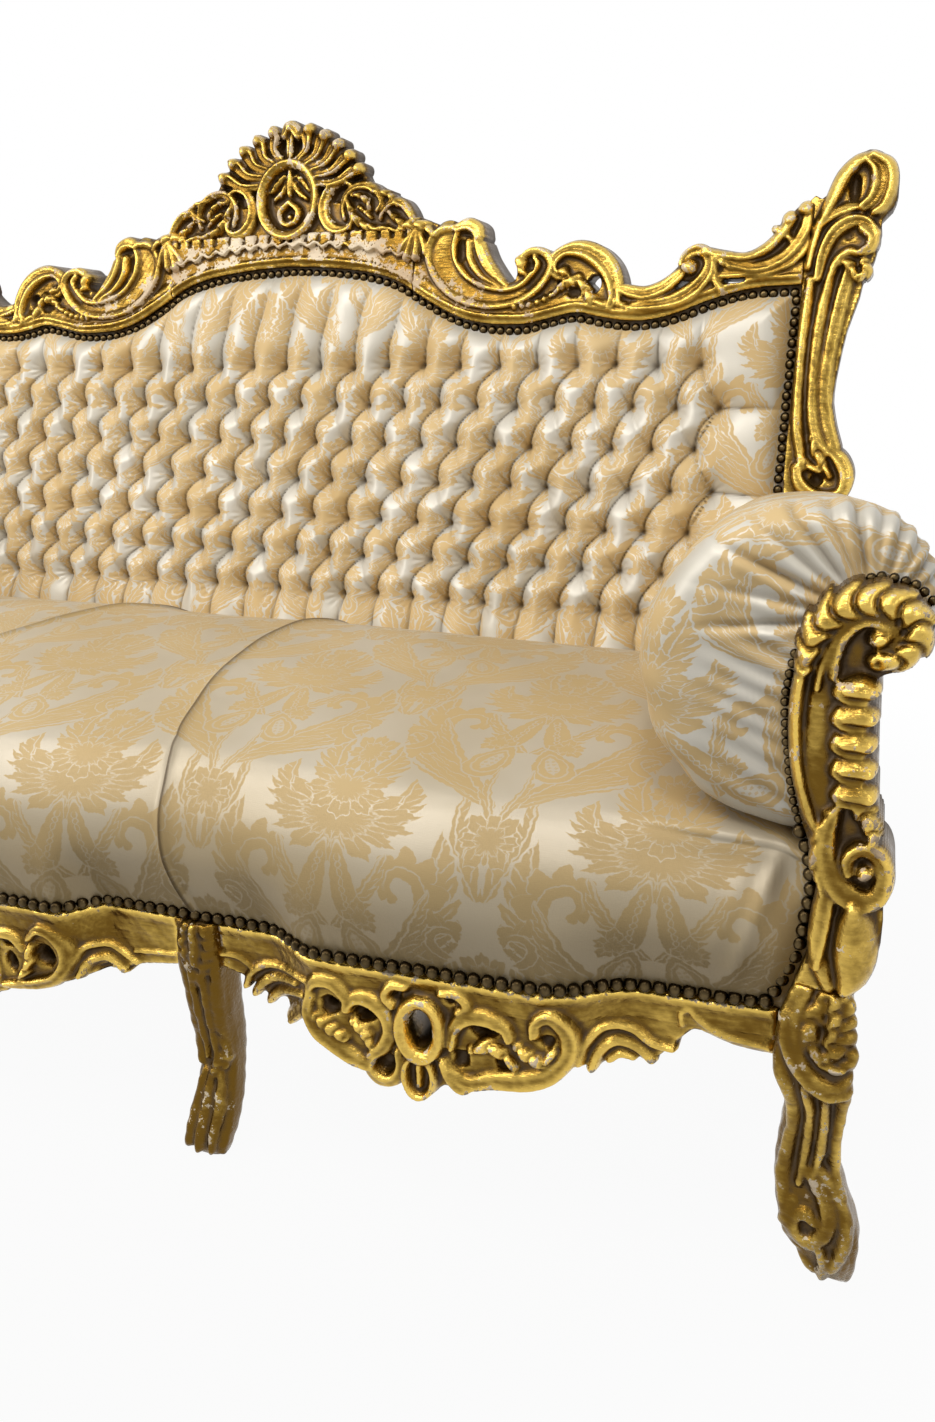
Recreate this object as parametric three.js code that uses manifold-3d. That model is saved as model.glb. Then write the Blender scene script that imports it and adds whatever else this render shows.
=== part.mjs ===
// A carved, gilded cabriole sofa with a tufted back, a domed sprung seat and rolled arms.
// Millimetres, +Z up. +X runs along the sofa, the front faces -Y, and Z is 0 on the floor.
import * as THREE from 'three';
import { mergeVertices } from 'three/addons/utils/BufferGeometryUtils.js';
import Module from 'manifold-3d';

const wasm = await Module();
wasm.setup();

// Driving dimensions.
const halfLength = 1000;
const frontRailTop = 300;
const seatDeck = 290;
const backRise = 1000;
const backRailY = 250;
const backLeanShare = 0.17;
const rearRake = 125;
const fit = 0.3;
const overrun = 40;

// A distance from the middle as a share of the half length, and a height as a share of the back's rise.
const wide = (share) => share * halfLength;
const high = (share) => seatDeck + share * backRise;

// Seat.
const seat = {
  crown: 531, sideHeight: 466, backHeight: 466, faceBulge: 16, rollDepth: 90,
  frontHalfWidth: wide(0.906), rearHalfWidth: wide(0.832), rearY: 262, frontRest: 3, cloth: 2.2,
  seamFront: wide(0.262), sideRoll: 34, wadGap: 8,
};

// Front rail: its line in plan swells at the middle and below each side seat.
const rail = {
  thickness: 36, endFront: 370, middleFront: 418, reach: wide(0.92),
  centreSwell: 40, centreSwellStart: wide(0.13), centreSwellEnd: wide(0.18),
  sideSwell: 36, sideSwellStart: wide(0.38), sideSwellFull: wide(0.46),
  sideSwellFall: wide(0.7), sideSwellEnd: wide(0.785),
  moulding: 7, mouldingHeight: 22,
};

// Back: layers are measured square to the leaning plane that the nails lie in.
const back = {
  halfWidth: wide(0.826), railJoin: wide(0.228), shellFoot: high(0.812), faceStand: 12,
  frameDepth: 49, edgeRound: 4, padBottom: high(0.18), padEdge: 2, padRear: 10, clothThickness: 1.5, webThickness: 2, frameThickness: 20,
  coverThickness: 2.5, coverStart: 38, reveal: 3,
};
const tuft = {
  pitch: 63, rowPitch: 60.5, lowestRow: high(0.246), rows: 7, crown: 34, foldDepth: 13, buttonDepth: 1,
  border: 18,
};

// Legs.
const cornerLeg = { x: wide(0.955), y: -375, width: 60, depth: 66, top: 345, sides: 12 };
const midLeg = { x: wide(0.293), y: -398, width: 56, depth: 60, sides: 12 };
const rearMidLeg = { x: wide(0.295), width: 48, depth: 40, top: 235 };

// Arms.
const post = { depth: 62, y: -375, edgeRound: 6 };
const arm = {
  front: -374, backClearance: 8, rearShift: -46, rearDrop: 48, faceRound: 52, rollZ: high(0.35),
  pleats: 9, pleatDepth: 7, contourPoints: 36,
};
const armFaceShares = [[0, 0.74], [0.14, 0.88], [0.45, 0.96], [1, 1]];
const armBodyShares = [0.32, 0.52, 0.72, 0.87, 1];
const armFrame = {
  endClearance: 3, thickness: 24, topRailHeight: 34, topRailZ: high(0.328), x: wide(0.94), lowRailZ: 300, lowRailHeight: 40,
};
const sideRail = { height: 57, thickness: 30, frontX: wide(0.93), rearY: 236, endClearance: 1.5 };
const backRail = { height: 90, thickness: 34 };
const nail = { diameter: 14, stand: 5.5, seatBase: 7, postGap: 1.5 };
const block = { leg: 62, height: 44, drop: 8 };
const brace = { width: 40, height: 44 };
const webbing = { strap: 80, gap: 118, alongSeat: 2, upBack: 2 };
const dust = { thickness: 1.5, margin: 42 };
const platformMargin = 22;
const outsideArm = { thickness: 3, stand: 4, bottom: 300, top: high(0.366) };
const upright = { x: wide(0.29), width: 46 };
const lowerRail = { z: high(0.11), height: 60 };

// Tables of shares: x of halfLength, z of backRise above the seat deck.
const panelTopShares = [
  [0, 0.769], [0.06, 0.766], [0.11, 0.761], [0.16, 0.753], [0.205, 0.738], [0.25, 0.712],
  [0.3, 0.687], [0.34, 0.675], [0.38, 0.671], [0.42, 0.671], [0.46, 0.679], [0.5, 0.686],
  [0.535, 0.679], [0.575, 0.673], [0.61, 0.673], [0.65, 0.681], [0.7, 0.699], [0.76, 0.713],
  [0.83, 0.716],
];
const crestTopShares = [
  [0.228, 0.832], [0.25, 0.83], [0.27, 0.821], [0.295, 0.824], [0.314, 0.828], [0.33, 0.824],
  [0.336, 0.809], [0.353, 0.782], [0.371, 0.749], [0.388, 0.734], [0.4, 0.742], [0.403, 0.762],
  [0.412, 0.774], [0.427, 0.776], [0.441, 0.769], [0.45, 0.754], [0.46, 0.766], [0.477, 0.779],
  [0.496, 0.783], [0.516, 0.779], [0.537, 0.764], [0.555, 0.74], [0.572, 0.727], [0.596, 0.722],
  [0.619, 0.724], [0.638, 0.737], [0.65, 0.748], [0.662, 0.764], [0.681, 0.771], [0.713, 0.766],
  [0.743, 0.763], [0.769, 0.774], [0.787, 0.793], [0.79, 0.808], [0.803, 0.813], [0.814, 0.823],
  [0.826, 0.827],
];
const crestHoleShares = [
  [[0.508, 0.735], [0.514, 0.717], [0.528, 0.708], [0.541, 0.712], [0.538, 0.73], [0.524, 0.742]],
  [[0.642, 0.708], [0.664, 0.716], [0.684, 0.727], [0.692, 0.736], [0.676, 0.737], [0.658, 0.729]],
  [[0.706, 0.722], [0.73, 0.73], [0.752, 0.733], [0.736, 0.738], [0.716, 0.738]],
];
const crestRidgeShares = [
  [[0.25, 0.79], [0.262, 0.755], [0.295, 0.722], [0.34, 0.705], [0.385, 0.702], [0.42, 0.72], [0.436, 0.744], [0.424, 0.762], [0.41, 0.752]],
  [[0.3, 0.81], [0.318, 0.812], [0.326, 0.796], [0.318, 0.77], [0.335, 0.742], [0.37, 0.725]],
  [[0.478, 0.742], [0.468, 0.757], [0.482, 0.772], [0.51, 0.772], [0.54, 0.748], [0.556, 0.716], [0.59, 0.706], [0.625, 0.712], [0.66, 0.732], [0.686, 0.752], [0.74, 0.748], [0.782, 0.765], [0.816, 0.792]],
];
const stileShares = [
  [0.838, 0], [0.838, 0.43], [0.829, 0.483], [0.826, 0.535], [0.826, 0.62], [0.826, 0.72],
  [0.826, 0.827], [0.842, 0.829], [0.858, 0.843], [0.868, 0.862], [0.88, 0.88], [0.898, 0.889],
  [0.915, 0.885], [0.929, 0.871], [0.938, 0.852], [0.941, 0.832], [0.936, 0.812], [0.923, 0.798],
  [0.927, 0.783], [0.923, 0.76], [0.919, 0.742], [0.911, 0.735], [0.905, 0.7], [0.893, 0.655],
  [0.886, 0.61], [0.883, 0.57], [0.887, 0.53], [0.898, 0.49], [0.912, 0.472], [0.917, 0.452], [0.917, 0.43],
  [0.907, 0.408], [0.905, 0.2], [0.905, 0],
];
const stileRidgeShares = [
  [[0.852, 0.5], [0.849, 0.56], [0.848, 0.65], [0.85, 0.74], [0.866, 0.792], [0.888, 0.806], [0.906, 0.79], [0.9, 0.765]],
  [[0.876, 0.47], [0.871, 0.5], [0.872, 0.58], [0.879, 0.66], [0.884, 0.735]],
];
// Rear leg: x of halfLength, z of frontRailTop.
const rearLegShares = [[0.902, 0.75], [0.898, 0.4], [0.893, 0], [0.86, 0], [0.856, 0.4], [0.846, 0.75]];

// Lower edge of the front aprons: x of halfLength, z of frontRailTop.
const sideApronShares = [
  [0.325, 0.81], [0.363, 0.77], [0.385, 0.74], [0.407, 0.737], [0.418, 0.713], [0.437, 0.72],
  [0.453, 0.69], [0.48, 0.64], [0.509, 0.617], [0.523, 0.563], [0.541, 0.563], [0.549, 0.577],
  [0.559, 0.54], [0.57, 0.515], [0.584, 0.53], [0.597, 0.573], [0.61, 0.58], [0.63, 0.61],
  [0.647, 0.643], [0.679, 0.657], [0.711, 0.687], [0.731, 0.727], [0.748, 0.7], [0.765, 0.733],
  [0.78, 0.75], [0.798, 0.723], [0.817, 0.78], [0.835, 0.857], [0.846, 0.87], [0.879, 0.83], [0.915, 0.82],
];
const centreApronShares = [
  [0, 0.52], [0.012, 0.53], [0.024, 0.573], [0.045, 0.6], [0.06, 0.633], [0.095, 0.657],
  [0.123, 0.69], [0.136, 0.697], [0.168, 0.723], [0.2, 0.747], [0.255, 0.783], [0.262, 0.79],
];
// Piercings through the aprons: centre x, centre z, half width and half height.
const sidePiercingShares = [
  [0.574, 0.797, 0.012, 0.072], [0.512, 0.81, 0.012, 0.03], [0.471, 0.82, 0.01, 0.033],
  [0.534, 0.637, 0.008, 0.028], [0.64, 0.823, 0.014, 0.027], [0.705, 0.82, 0.009, 0.028],
  [0.616, 0.703, 0.008, 0.028],
];
const centrePiercingShares = [[0, 0.765, 0.01, 0.06], [0.058, 0.745, 0.008, 0.037], [0.108, 0.8, 0.011, 0.037]];

// Arm post outline, on the same shares as the back.
const postShares = [
  [0.93, 0.056], [0.941, 0.094], [0.945, 0.12], [0.947, 0.155], [0.94, 0.184], [0.929, 0.201],
  [0.92, 0.225], [0.912, 0.256], [0.907, 0.287], [0.903, 0.318], [0.906, 0.351], [0.917, 0.385],
  [0.932, 0.408], [0.949, 0.422], [0.969, 0.428], [0.99, 0.423], [1.003, 0.409], [1.009, 0.392],
  [1.005, 0.376], [0.994, 0.362], [0.98, 0.353], [0.968, 0.35], [0.966, 0.338], [0.97, 0.316],
  [0.971, 0.29], [0.973, 0.264], [0.976, 0.231], [0.979, 0.213], [0.985, 0.199], [0.993, 0.17],
  [0.998, 0.134], [0.997, 0.086], [0.982, 0.056],
];
const postRidgeShares = [
  [0.953, 0.075], [0.966, 0.11], [0.972, 0.15], [0.958, 0.19], [0.944, 0.225], [0.936, 0.265],
  [0.932, 0.31], [0.938, 0.36], [0.957, 0.396], [0.98, 0.404], [0.993, 0.388], [0.985, 0.37], [0.971, 0.377],
];
// Rolled arm section: x of halfLength, z of backRise above the seat deck.
const armShares = [
  [0.926, 0.187], [0.87, 0.19], [0.822, 0.212], [0.79, 0.248], [0.77, 0.285], [0.76, 0.34],
  [0.765, 0.375], [0.779, 0.405], [0.797, 0.435], [0.822, 0.462], [0.85, 0.478], [0.884, 0.487],
  [0.932, 0.491], [0.972, 0.482], [0.998, 0.461], [1.014, 0.434], [1.014, 0.402], [0.996, 0.382],
  [0.964, 0.376], [0.936, 0.372], [0.932, 0.33], [0.93, 0.26],
];
// Corner leg stations: z of its top, x and y of centre, half width and half depth, of its width and depth.
const cornerLegShares = [
  [0, 0.64, 0.2, 0.26, 0.22], [0.04, 0.62, 0.14, 0.34, 0.34], [0.13, 0.49, 0.05, 0.5, 0.42],
  [0.22, 0.32, 0.02, 0.63, 0.46], [0.34, 0.13, 0.04, 0.57, 0.43], [0.44, 0.03, 0.06, 0.49, 0.41],
  [0.6, 0.06, 0.02, 0.47, 0.44], [0.72, -0.03, -0.05, 0.61, 0.52], [0.84, -0.05, -0.04, 0.58, 0.52],
  [1, 0, 0, 0.42, 0.46],
];
// Middle leg stations, on the same plan, with z of frontRailTop.
const midLegShares = [
  [0, -0.04, -0.4, 0.4, 0.29], [0.045, -0.05, -0.4, 0.48, 0.36], [0.12, -0.02, -0.24, 0.5, 0.44],
  [0.24, 0, 0, 0.46, 0.44], [0.42, 0, 0.2, 0.43, 0.42], [0.62, 0, 0.08, 0.47, 0.46],
  [0.8, 0, 0, 0.5, 0.5], [1, 0, 0, 0.5, 0.5],
];
// Crest shell: centre, half width and height of its fan, and of its oval ring.
const shell = {
  centreShare: 0.875, halfWidth: wide(0.152), height: 0.121 * backRise, lobes: 13, lobeRise: 7, depth: 30,
  ringHalfWidth: 50, ringHalfHeight: 54, ringTube: 8, flankStart: 0.228, slotInnerShare: 0.6,
  slotOuterShare: 0.8, slotHalfAngleShare: 0.2, pointsPerLobe: 3,
};
const shellFlankShares = [
  [0.228, 0.812], [0.228, 0.83], [0.215, 0.85], [0.196, 0.866], [0.172, 0.872], [0.153, 0.878],
];
const ridge = { radius: 7, sides: 5, sink: 1.5, steps: 12 };

// Finishes.
const gilding = new THREE.MeshStandardMaterial({ color: 0xb8872c, roughness: 0.38, metalness: 0.85 });
const damask = new THREE.MeshStandardMaterial({ color: 0xd8c49c, roughness: 0.5, metalness: 0 });
const bareWood = new THREE.MeshStandardMaterial({ color: 0xa87f4f, roughness: 0.75, metalness: 0 });
const brass = new THREE.MeshStandardMaterial({ color: 0x4a3a26, roughness: 0.4, metalness: 0.8 });
const jute = new THREE.MeshStandardMaterial({ color: 0xa58a5e, roughness: 0.95, metalness: 0 });
const wadding = new THREE.MeshStandardMaterial({ color: 0xe8e2d2, roughness: 1, metalness: 0 });

const upper = ([x, z]) => new THREE.Vector2(x * halfLength, seatDeck + z * backRise);
const lower = ([x, z]) => new THREE.Vector2(x * halfLength, z * frontRailTop);
const smooth = (from, to, value) => THREE.MathUtils.smoothstep(value, from, to);
const mix = THREE.MathUtils.lerp;

// The line of the nails above the back, at a distance x from the middle.
const panelTopPoints = panelTopShares.map(upper);
function panelTop(x) {
  const distance = Math.min(Math.abs(x), panelTopPoints.at(-1).x);
  const i = Math.max(1, panelTopPoints.findIndex((point) => point.x >= distance));
  const [before, after] = [panelTopPoints[i - 1], panelTopPoints[i]];
  return mix(before.y, after.y, smooth(before.x, after.x, distance));
}

// Y of the leaning back plane at a height; below the seat deck the rear legs rake backwards.
function backY(z) {
  if (z >= seatDeck) return backRailY + backLeanShare * (z - seatDeck);
  return backRailY + rearRake * ((seatDeck - z) / seatDeck) ** 2;
}

// Y of the front rail's face.
function frontY(x) {
  const a = Math.abs(x);
  const sweep = mix(rail.middleFront, rail.endFront, Math.min(1, a / rail.reach) ** 2);
  const centre = rail.centreSwell * (1 - smooth(rail.centreSwellStart, rail.centreSwellEnd, a));
  const side = rail.sideSwell * smooth(rail.sideSwellStart, rail.sideSwellFull, a)
    * (1 - smooth(rail.sideSwellFall, rail.sideSwellEnd, a));
  return -(sweep + centre + side);
}

// A closed mesh from points and triangles, turned so that its faces point out.
function closedMesh(points, triangles) {
  const volume = triangles.reduce((sum, [a, b, c]) => (
    sum + points[a].dot(new THREE.Vector3().crossVectors(points[b], points[c]))), 0);
  const faces = volume < 0 ? triangles.map(([a, b, c]) => [a, c, b]) : triangles;
  const geometry = new THREE.BufferGeometry().setFromPoints(points);
  geometry.setIndex(faces.flat());
  geometry.computeVertexNormals();
  return geometry;
}

// A solid through closed rings of equal counts, its two ends flat. `flatten` lays an end out in 2-D.
function loft(rings, flatten) {
  const count = rings[0].length;
  const triangles = [];
  for (let i = 0; i + 1 < rings.length; i += 1) {
    for (let j = 0; j < count; j += 1) {
      const [a, b] = [i * count + j, i * count + ((j + 1) % count)];
      triangles.push([a, b, b + count], [a, b + count, a + count]);
    }
  }
  const outline = rings[0].map(flatten);
  const cap = THREE.ShapeUtils.triangulateShape(outline, []);
  const last = (rings.length - 1) * count;
  const endOutline = rings.at(-1).map(flatten);
  const endCap = THREE.ShapeUtils.triangulateShape(endOutline, []);
  const turned = (faces, shape, reverse) => {
    const [a, b, c] = faces[0].map((index) => shape[index]);
    const anticlockwise = (b.x - a.x) * (c.y - a.y) - (b.y - a.y) * (c.x - a.x) > 0;
    const ringTurn = !THREE.ShapeUtils.isClockWise(shape);
    return faces.map(([p, q, r]) => ((anticlockwise === ringTurn) !== reverse ? [p, r, q] : [p, q, r]));
  };
  triangles.push(...turned(cap, outline, false));
  triangles.push(...turned(endCap, endOutline, true).map((face) => face.map((index) => index + last)));
  return closedMesh(rings.flat(), triangles);
}
const onXZ = (point) => new THREE.Vector2(point.x, point.z);
const onYZ = (point) => new THREE.Vector2(point.y, point.z);
const onXY = (point) => new THREE.Vector2(point.x, point.y);

// A plate with an outline in X and Z, its front at y and its edges rounded by one bevel.
function plate(outline, holes, y, depth, round) {
  const shape = new THREE.Shape(outline);
  shape.holes = holes.map((hole) => new THREE.Path(hole));
  const geometry = new THREE.ExtrudeGeometry(shape, {
    depth: depth - 2 * round, bevelEnabled: round > 0, bevelThickness: round, bevelSize: round,
    bevelOffset: -round, bevelSegments: 1, steps: 1,
  });
  geometry.rotateX(Math.PI / 2);
  geometry.translate(0, y + depth - round, 0);
  return geometry;
}

// Moves every point of a geometry by `change`, which gets and alters one Vector3.
function reshape(geometry, change) {
  const position = geometry.attributes.position;
  const point = new THREE.Vector3();
  for (let i = 0; i < position.count; i += 1) {
    change(point.fromBufferAttribute(position, i));
    position.setXYZ(i, point.x, point.y, point.z);
  }
  geometry.computeVertexNormals();
  return geometry;
}
const leanBack = (geometry) => reshape(geometry, (point) => { point.y += backY(point.z); });

function solidOf(geometry) {
  const bare = geometry.clone();
  for (const name of ['normal', 'uv']) bare.deleteAttribute(name);
  const merged = mergeVertices(bare);
  return new wasm.Manifold(new wasm.Mesh({
    numProp: 3,
    vertProperties: new Float32Array(merged.attributes.position.array),
    triVerts: new Uint32Array(merged.index.array),
  }));
}
function geometryOf(solid) {
  const mesh = solid.getMesh();
  const geometry = new THREE.BufferGeometry();
  geometry.setAttribute('position', new THREE.BufferAttribute(mesh.vertProperties, mesh.numProp));
  geometry.setIndex(new THREE.BufferAttribute(mesh.triVerts, 1));
  geometry.computeVertexNormals();
  return geometry;
}
const cutFrom = (geometry, cutters) => geometryOf(
  cutters.reduce((solid, cutter) => solid.subtract(solidOf(cutter)), solidOf(geometry)));
const joinTo = (geometry, additions) => geometryOf(
  additions.reduce((solid, addition) => solid.add(solidOf(addition)), solidOf(geometry)));

// A carved ridge: a round section swept along points and capped at both ends.
function sweep(points, radius, sides, steps, closed = false) {
  const section = new THREE.Shape();
  section.setFromPoints(Array.from({ length: sides }, (_, i) => {
    const angle = (2 * Math.PI * i) / sides;
    return new THREE.Vector2(radius * Math.cos(angle), radius * Math.sin(angle));
  }));
  const path = new THREE.CatmullRomCurve3(points, closed);
  return new THREE.ExtrudeGeometry(section, { steps, extrudePath: path, bevelEnabled: false });
}
const ridgeOn = (shares, y, steps = ridge.steps) => sweep(
  shares.map(upper).map((point) => new THREE.Vector3(point.x, y, point.y)), ridge.radius, ridge.sides, steps);

function ellipse(x, z, halfWidth, halfHeight, count) {
  return Array.from({ length: count }, (_, i) => {
    const angle = (2 * Math.PI * i) / count;
    return new THREE.Vector2(x + halfWidth * Math.cos(angle), z + halfHeight * Math.sin(angle));
  });
}
const piercingPoints = 8;

const sofa = new THREE.Group();
function add(name, geometry, material, mirrored = false) {
  const mesh = new THREE.Mesh(geometry, material);
  mesh.name = name;
  if (mirrored) mesh.scale.x = -1;
  sofa.add(mesh);
}
function addPair(name, geometry, material) {
  add(`${name}_right`, geometry, material);
  add(`${name}_left`, geometry, material, true);
}

// Evenly spaced values from one end to the other.
const spread = (from, to, count) => Array.from({ length: count }, (_, i) => mix(from, to, i / (count - 1)));

// Crest rail in three lengths, the middle one flat on top to carry the shell.
const crestFront = -back.faceStand;
function crestCentre() {
  const reach = back.railJoin - fit;
  const bottom = spread(-reach, reach, 25).map((x) => new THREE.Vector2(x, panelTop(x) + fit));
  const top = back.shellFoot - fit;
  const outline = [...bottom, new THREE.Vector2(reach, top), new THREE.Vector2(-reach, top)];
  return leanBack(plate(outline, [], crestFront, back.frameDepth, back.edgeRound));
}
function crestSide() {
  const reach = back.halfWidth - fit;
  const bottom = spread(back.railJoin, reach, 22).map((x) => new THREE.Vector2(x, panelTop(x) + fit));
  const inside = crestTopShares.map(upper).filter((point) => point.x <= reach).reverse();
  const body = plate([...bottom, ...inside], crestHoleShares.map((hole) => hole.map(upper)),
    crestFront, back.frameDepth, back.edgeRound);
  const ridges = crestRidgeShares.map((shares) => ridgeOn(shares, crestFront + ridge.sink));
  return leanBack(joinTo(body, ridges));
}

// Pierced fan of gadroons over an oval ring.
function crestShell() {
  const centreZ = seatDeck + shell.centreShare * backRise;
  const rim = (angle, share) => {
    const lobe = Math.abs(Math.sin((shell.lobes * angle) / 2));
    const rise = share === 1 ? shell.lobeRise * lobe : 0;
    return new THREE.Vector2((shell.halfWidth * share + rise) * Math.cos(angle),
      centreZ + (shell.height * share + rise) * Math.sin(angle));
  };
  const count = shell.lobes * shell.pointsPerLobe;
  const fan = spread(0, Math.PI, count + 1).map((angle) => rim(angle, 1));
  const flank = shellFlankShares.map(upper);
  const outline = [...flank, ...fan, ...flank.map((point) => new THREE.Vector2(-point.x, point.y)).reverse()];
  const slots = spread(0, Math.PI, shell.lobes + 1).slice(2, -2).map((angle) => {
    const half = (shell.slotHalfAngleShare * Math.PI) / shell.lobes;
    return [rim(angle - half, shell.slotOuterShare), rim(angle + half, shell.slotOuterShare),
      rim(angle, shell.slotInnerShare)];
  });
  const front = crestFront;
  const ringPoints = ellipse(0, centreZ, shell.ringHalfWidth, shell.ringHalfHeight, 17)
    .map((point) => new THREE.Vector3(point.x, front, point.y));
  const ring = sweep([...ringPoints, ringPoints[0]], shell.ringTube, ridge.sides, 2 * ringPoints.length - 10);
  const spindles = spread(0, Math.PI, 2 * shell.lobes + 1).filter((_, i) => i % 2 === 1).map((angle) => sweep(
    [shell.slotInnerShare, shell.slotOuterShare, 1].map((share) => {
      const point = rim(angle, share);
      return new THREE.Vector3(point.x, front, point.y);
    }), shell.ringTube, ridge.sides, 2));
  const body = plate(outline, slots, front, shell.depth, 0);
  return leanBack(joinTo(body, [ring, ...spindles]));
}

// Back stile: finial, stile and raked rear leg cut from one plank.
function backStile() {
  const outline = [...stileShares.map(upper), ...rearLegShares.map(lower)];
  const ridges = stileRidgeShares.map((shares) => ridgeOn(shares, crestFront + ridge.sink));
  const body = plate(outline, [], crestFront, back.frameDepth, back.edgeRound);
  return leanBack(joinTo(body, ridges));
}

// A front apron length as sections along X: rail above, moulding, and a carved lower edge.
function apron(lowerShares, from, to, stations, piercingShares) {
  const edge = lowerShares.map(lower);
  const bottomAt = (x) => {
    const a = Math.abs(x);
    const i = Math.max(1, edge.findIndex((point) => point.x >= a));
    const [p, q] = [edge[i - 1], edge[i]];
    return mix(p.y, q.y, (a - p.x) / (q.x - p.x));
  };
  const rings = spread(from, to, stations).map((x) => {
    const [y, bottom, top] = [frontY(x), bottomAt(x), frontRailTop];
    const behind = y + rail.thickness;
    const shoulder = top - rail.mouldingHeight;
    return [[y, top], [y - rail.moulding, top - rail.moulding], [y - rail.moulding, shoulder],
      [y, shoulder - rail.moulding], [y - rail.moulding, mix(shoulder, bottom, 0.5)],
      [y, bottom], [behind, bottom], [behind, top]].map(([py, pz]) => new THREE.Vector3(x, py, pz));
  });
  const cutters = piercingShares.map(([x, z, halfWidth, halfHeight]) => {
    const centre = lower([x, z]);
    const hole = plate(ellipse(centre.x, centre.y, halfWidth * halfLength, halfHeight * frontRailTop,
      piercingPoints), [], frontY(centre.x) - overrun, rail.thickness + 2 * overrun, 0);
    return hole;
  });
  return cutFrom(loft(rings, onYZ), cutters);
}

// A carved leg as round-cornered sections up its height.
function leg(stations, spec, height) {
  const rings = stations.map(([z, x, y, halfWidth, halfDepth]) => (
    Array.from({ length: spec.sides }, (_, i) => {
      const angle = (2 * Math.PI * (i + 0.5)) / spec.sides;
      const [c, s] = [Math.cos(angle), Math.sin(angle)];
      const square = 1 / (Math.abs(c) ** 3 + Math.abs(s) ** 3) ** (1 / 3);
      return new THREE.Vector3(spec.x + spec.width * (x + halfWidth * c * square),
        spec.y + spec.depth * (y + halfDepth * s * square), z * height);
    })));
  return loft(rings, onXY);
}

// Arm post with its scroll, or the same post grown all round to cut its own bed.
const postFront = post.y - post.depth / 2;
const postOutline = postShares.map(upper)
  .map((point) => new THREE.Vector2(point.x, Math.max(point.y, cornerLeg.top + fit)));
function armPostBlank(growth) {
  const geometry = new THREE.ExtrudeGeometry(new THREE.Shape(postOutline), {
    depth: post.depth, bevelEnabled: true, bevelThickness: growth, bevelSize: growth, bevelSegments: 1,
  });
  return geometry.rotateX(Math.PI / 2).translate(0, postFront + post.depth, 0);
}
function armPost() {
  const body = plate(postOutline, [], postFront, post.depth, post.edgeRound);
  return joinTo(body, [ridgeOn(postRidgeShares, postFront + ridge.sink, 2 * ridge.steps)]);
}

// Points along one X station of the seat, from the nails on the front rail over to the back.
function seatHalfWidth(y) {
  return mix(seat.frontHalfWidth, seat.rearHalfWidth, smooth(rail.endFront * -1, seat.rearY, y));
}
const seatRollShares = [[0, 0], [0.16, 0.75], [0.36, 1], [0.58, 0.85], [0.78, 0.2], [0.9, -1.1]];
const seatEndShare = 0.86;
const seatTopShares = [0.16, 0.28, 0.42, 0.56, 0.72, 0.88, 1];
function seatLine(share, inset) {
  const base = frontRailTop + fit;
  const points = [];
  const side = Math.abs(share);
  const sideFall = 1 - side ** 5;
  const end = 1 - smooth(1 - seat.sideRoll / seat.frontHalfWidth, 1, side);
  const endShare = mix(seatEndShare, 1, end);
  const place = (y, z) => {
    const halfWidth = seatHalfWidth(y) - inset;
    const height = (z - base) * endShare;
    const raised = height - inset * Math.min(1, height / (seat.rollDepth / 2));
    points.push(new THREE.Vector3(share * halfWidth, y, base + raised));
  };
  const crest = mix(seat.sideHeight, seat.crown, sideFall);
  const face = (x) => frontY(x) + seat.frontRest;
  const y0 = face(share * seat.frontHalfWidth) + inset;
  const rollTop = crest - (seat.crown - seat.backHeight) / 2;
  for (const [z, out] of seatRollShares) place(y0 - out * seat.faceBulge * endShare, mix(base, rollTop, z));
  const start = y0 + seat.faceBulge;
  for (const t of seatTopShares) {
    const y = mix(start, seat.rearY - inset, t);
    const fall = (t - 0.6) / (t < 0.6 ? 0.6 : 0.4);
    const low = t < 0.6 ? rollTop - seat.faceBulge : mix(seat.sideHeight, seat.backHeight, sideFall);
    place(y, mix(crest, low, fall ** 2 * (t < 0.6 ? 0.9 : 1)));
  }
  return points;
}
// Stations across one half of the seat, close together where the front rail swells.
const between = (a, b) => (a + b) / 2;
const seatCentreStations = [0, rail.centreSwellStart / 2, rail.centreSwellStart,
  between(rail.centreSwellStart, rail.centreSwellEnd), rail.centreSwellEnd, seat.seamFront];
const seatSideStations = [seat.seamFront, between(seat.seamFront, rail.sideSwellStart), rail.sideSwellStart,
  between(rail.sideSwellStart, rail.sideSwellFull), rail.sideSwellFull,
  between(rail.sideSwellFull, rail.sideSwellFall), rail.sideSwellFall,
  between(rail.sideSwellFall, rail.sideSwellEnd), rail.sideSwellEnd,
  between(rail.sideSwellEnd, seat.frontHalfWidth - seat.sideRoll), seat.frontHalfWidth - seat.sideRoll,
  seat.frontHalfWidth - seat.sideRoll / 2, seat.frontHalfWidth];
const mirrored = (stations) => [...stations.slice(1).map((x) => -x).reverse(), ...stations];
function seatCover(stations) {
  const shares = stations.map((x) => x / seat.frontHalfWidth);
  return loft(shares.map((share) => [...seatLine(share, 0), ...seatLine(share, seat.cloth).reverse()]), onYZ);
}
function seatStuffing() {
  const inset = seat.cloth + seat.wadGap;
  const sideEnd = seat.frontHalfWidth - seat.sideRoll;
  const stations = [0, rail.centreSwellStart, rail.centreSwellEnd, rail.sideSwellStart, rail.sideSwellFull,
    rail.sideSwellFall, rail.sideSwellEnd, sideEnd, seat.frontHalfWidth];
  return loft(mirrored(stations).map((x) => {
    const line = seatLine(x / seat.frontHalfWidth, inset);
    const floor = frontRailTop + fit;
    return [...line, new THREE.Vector3(line.at(-1).x, line.at(-1).y, floor)];
  }), onYZ);
}

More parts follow.
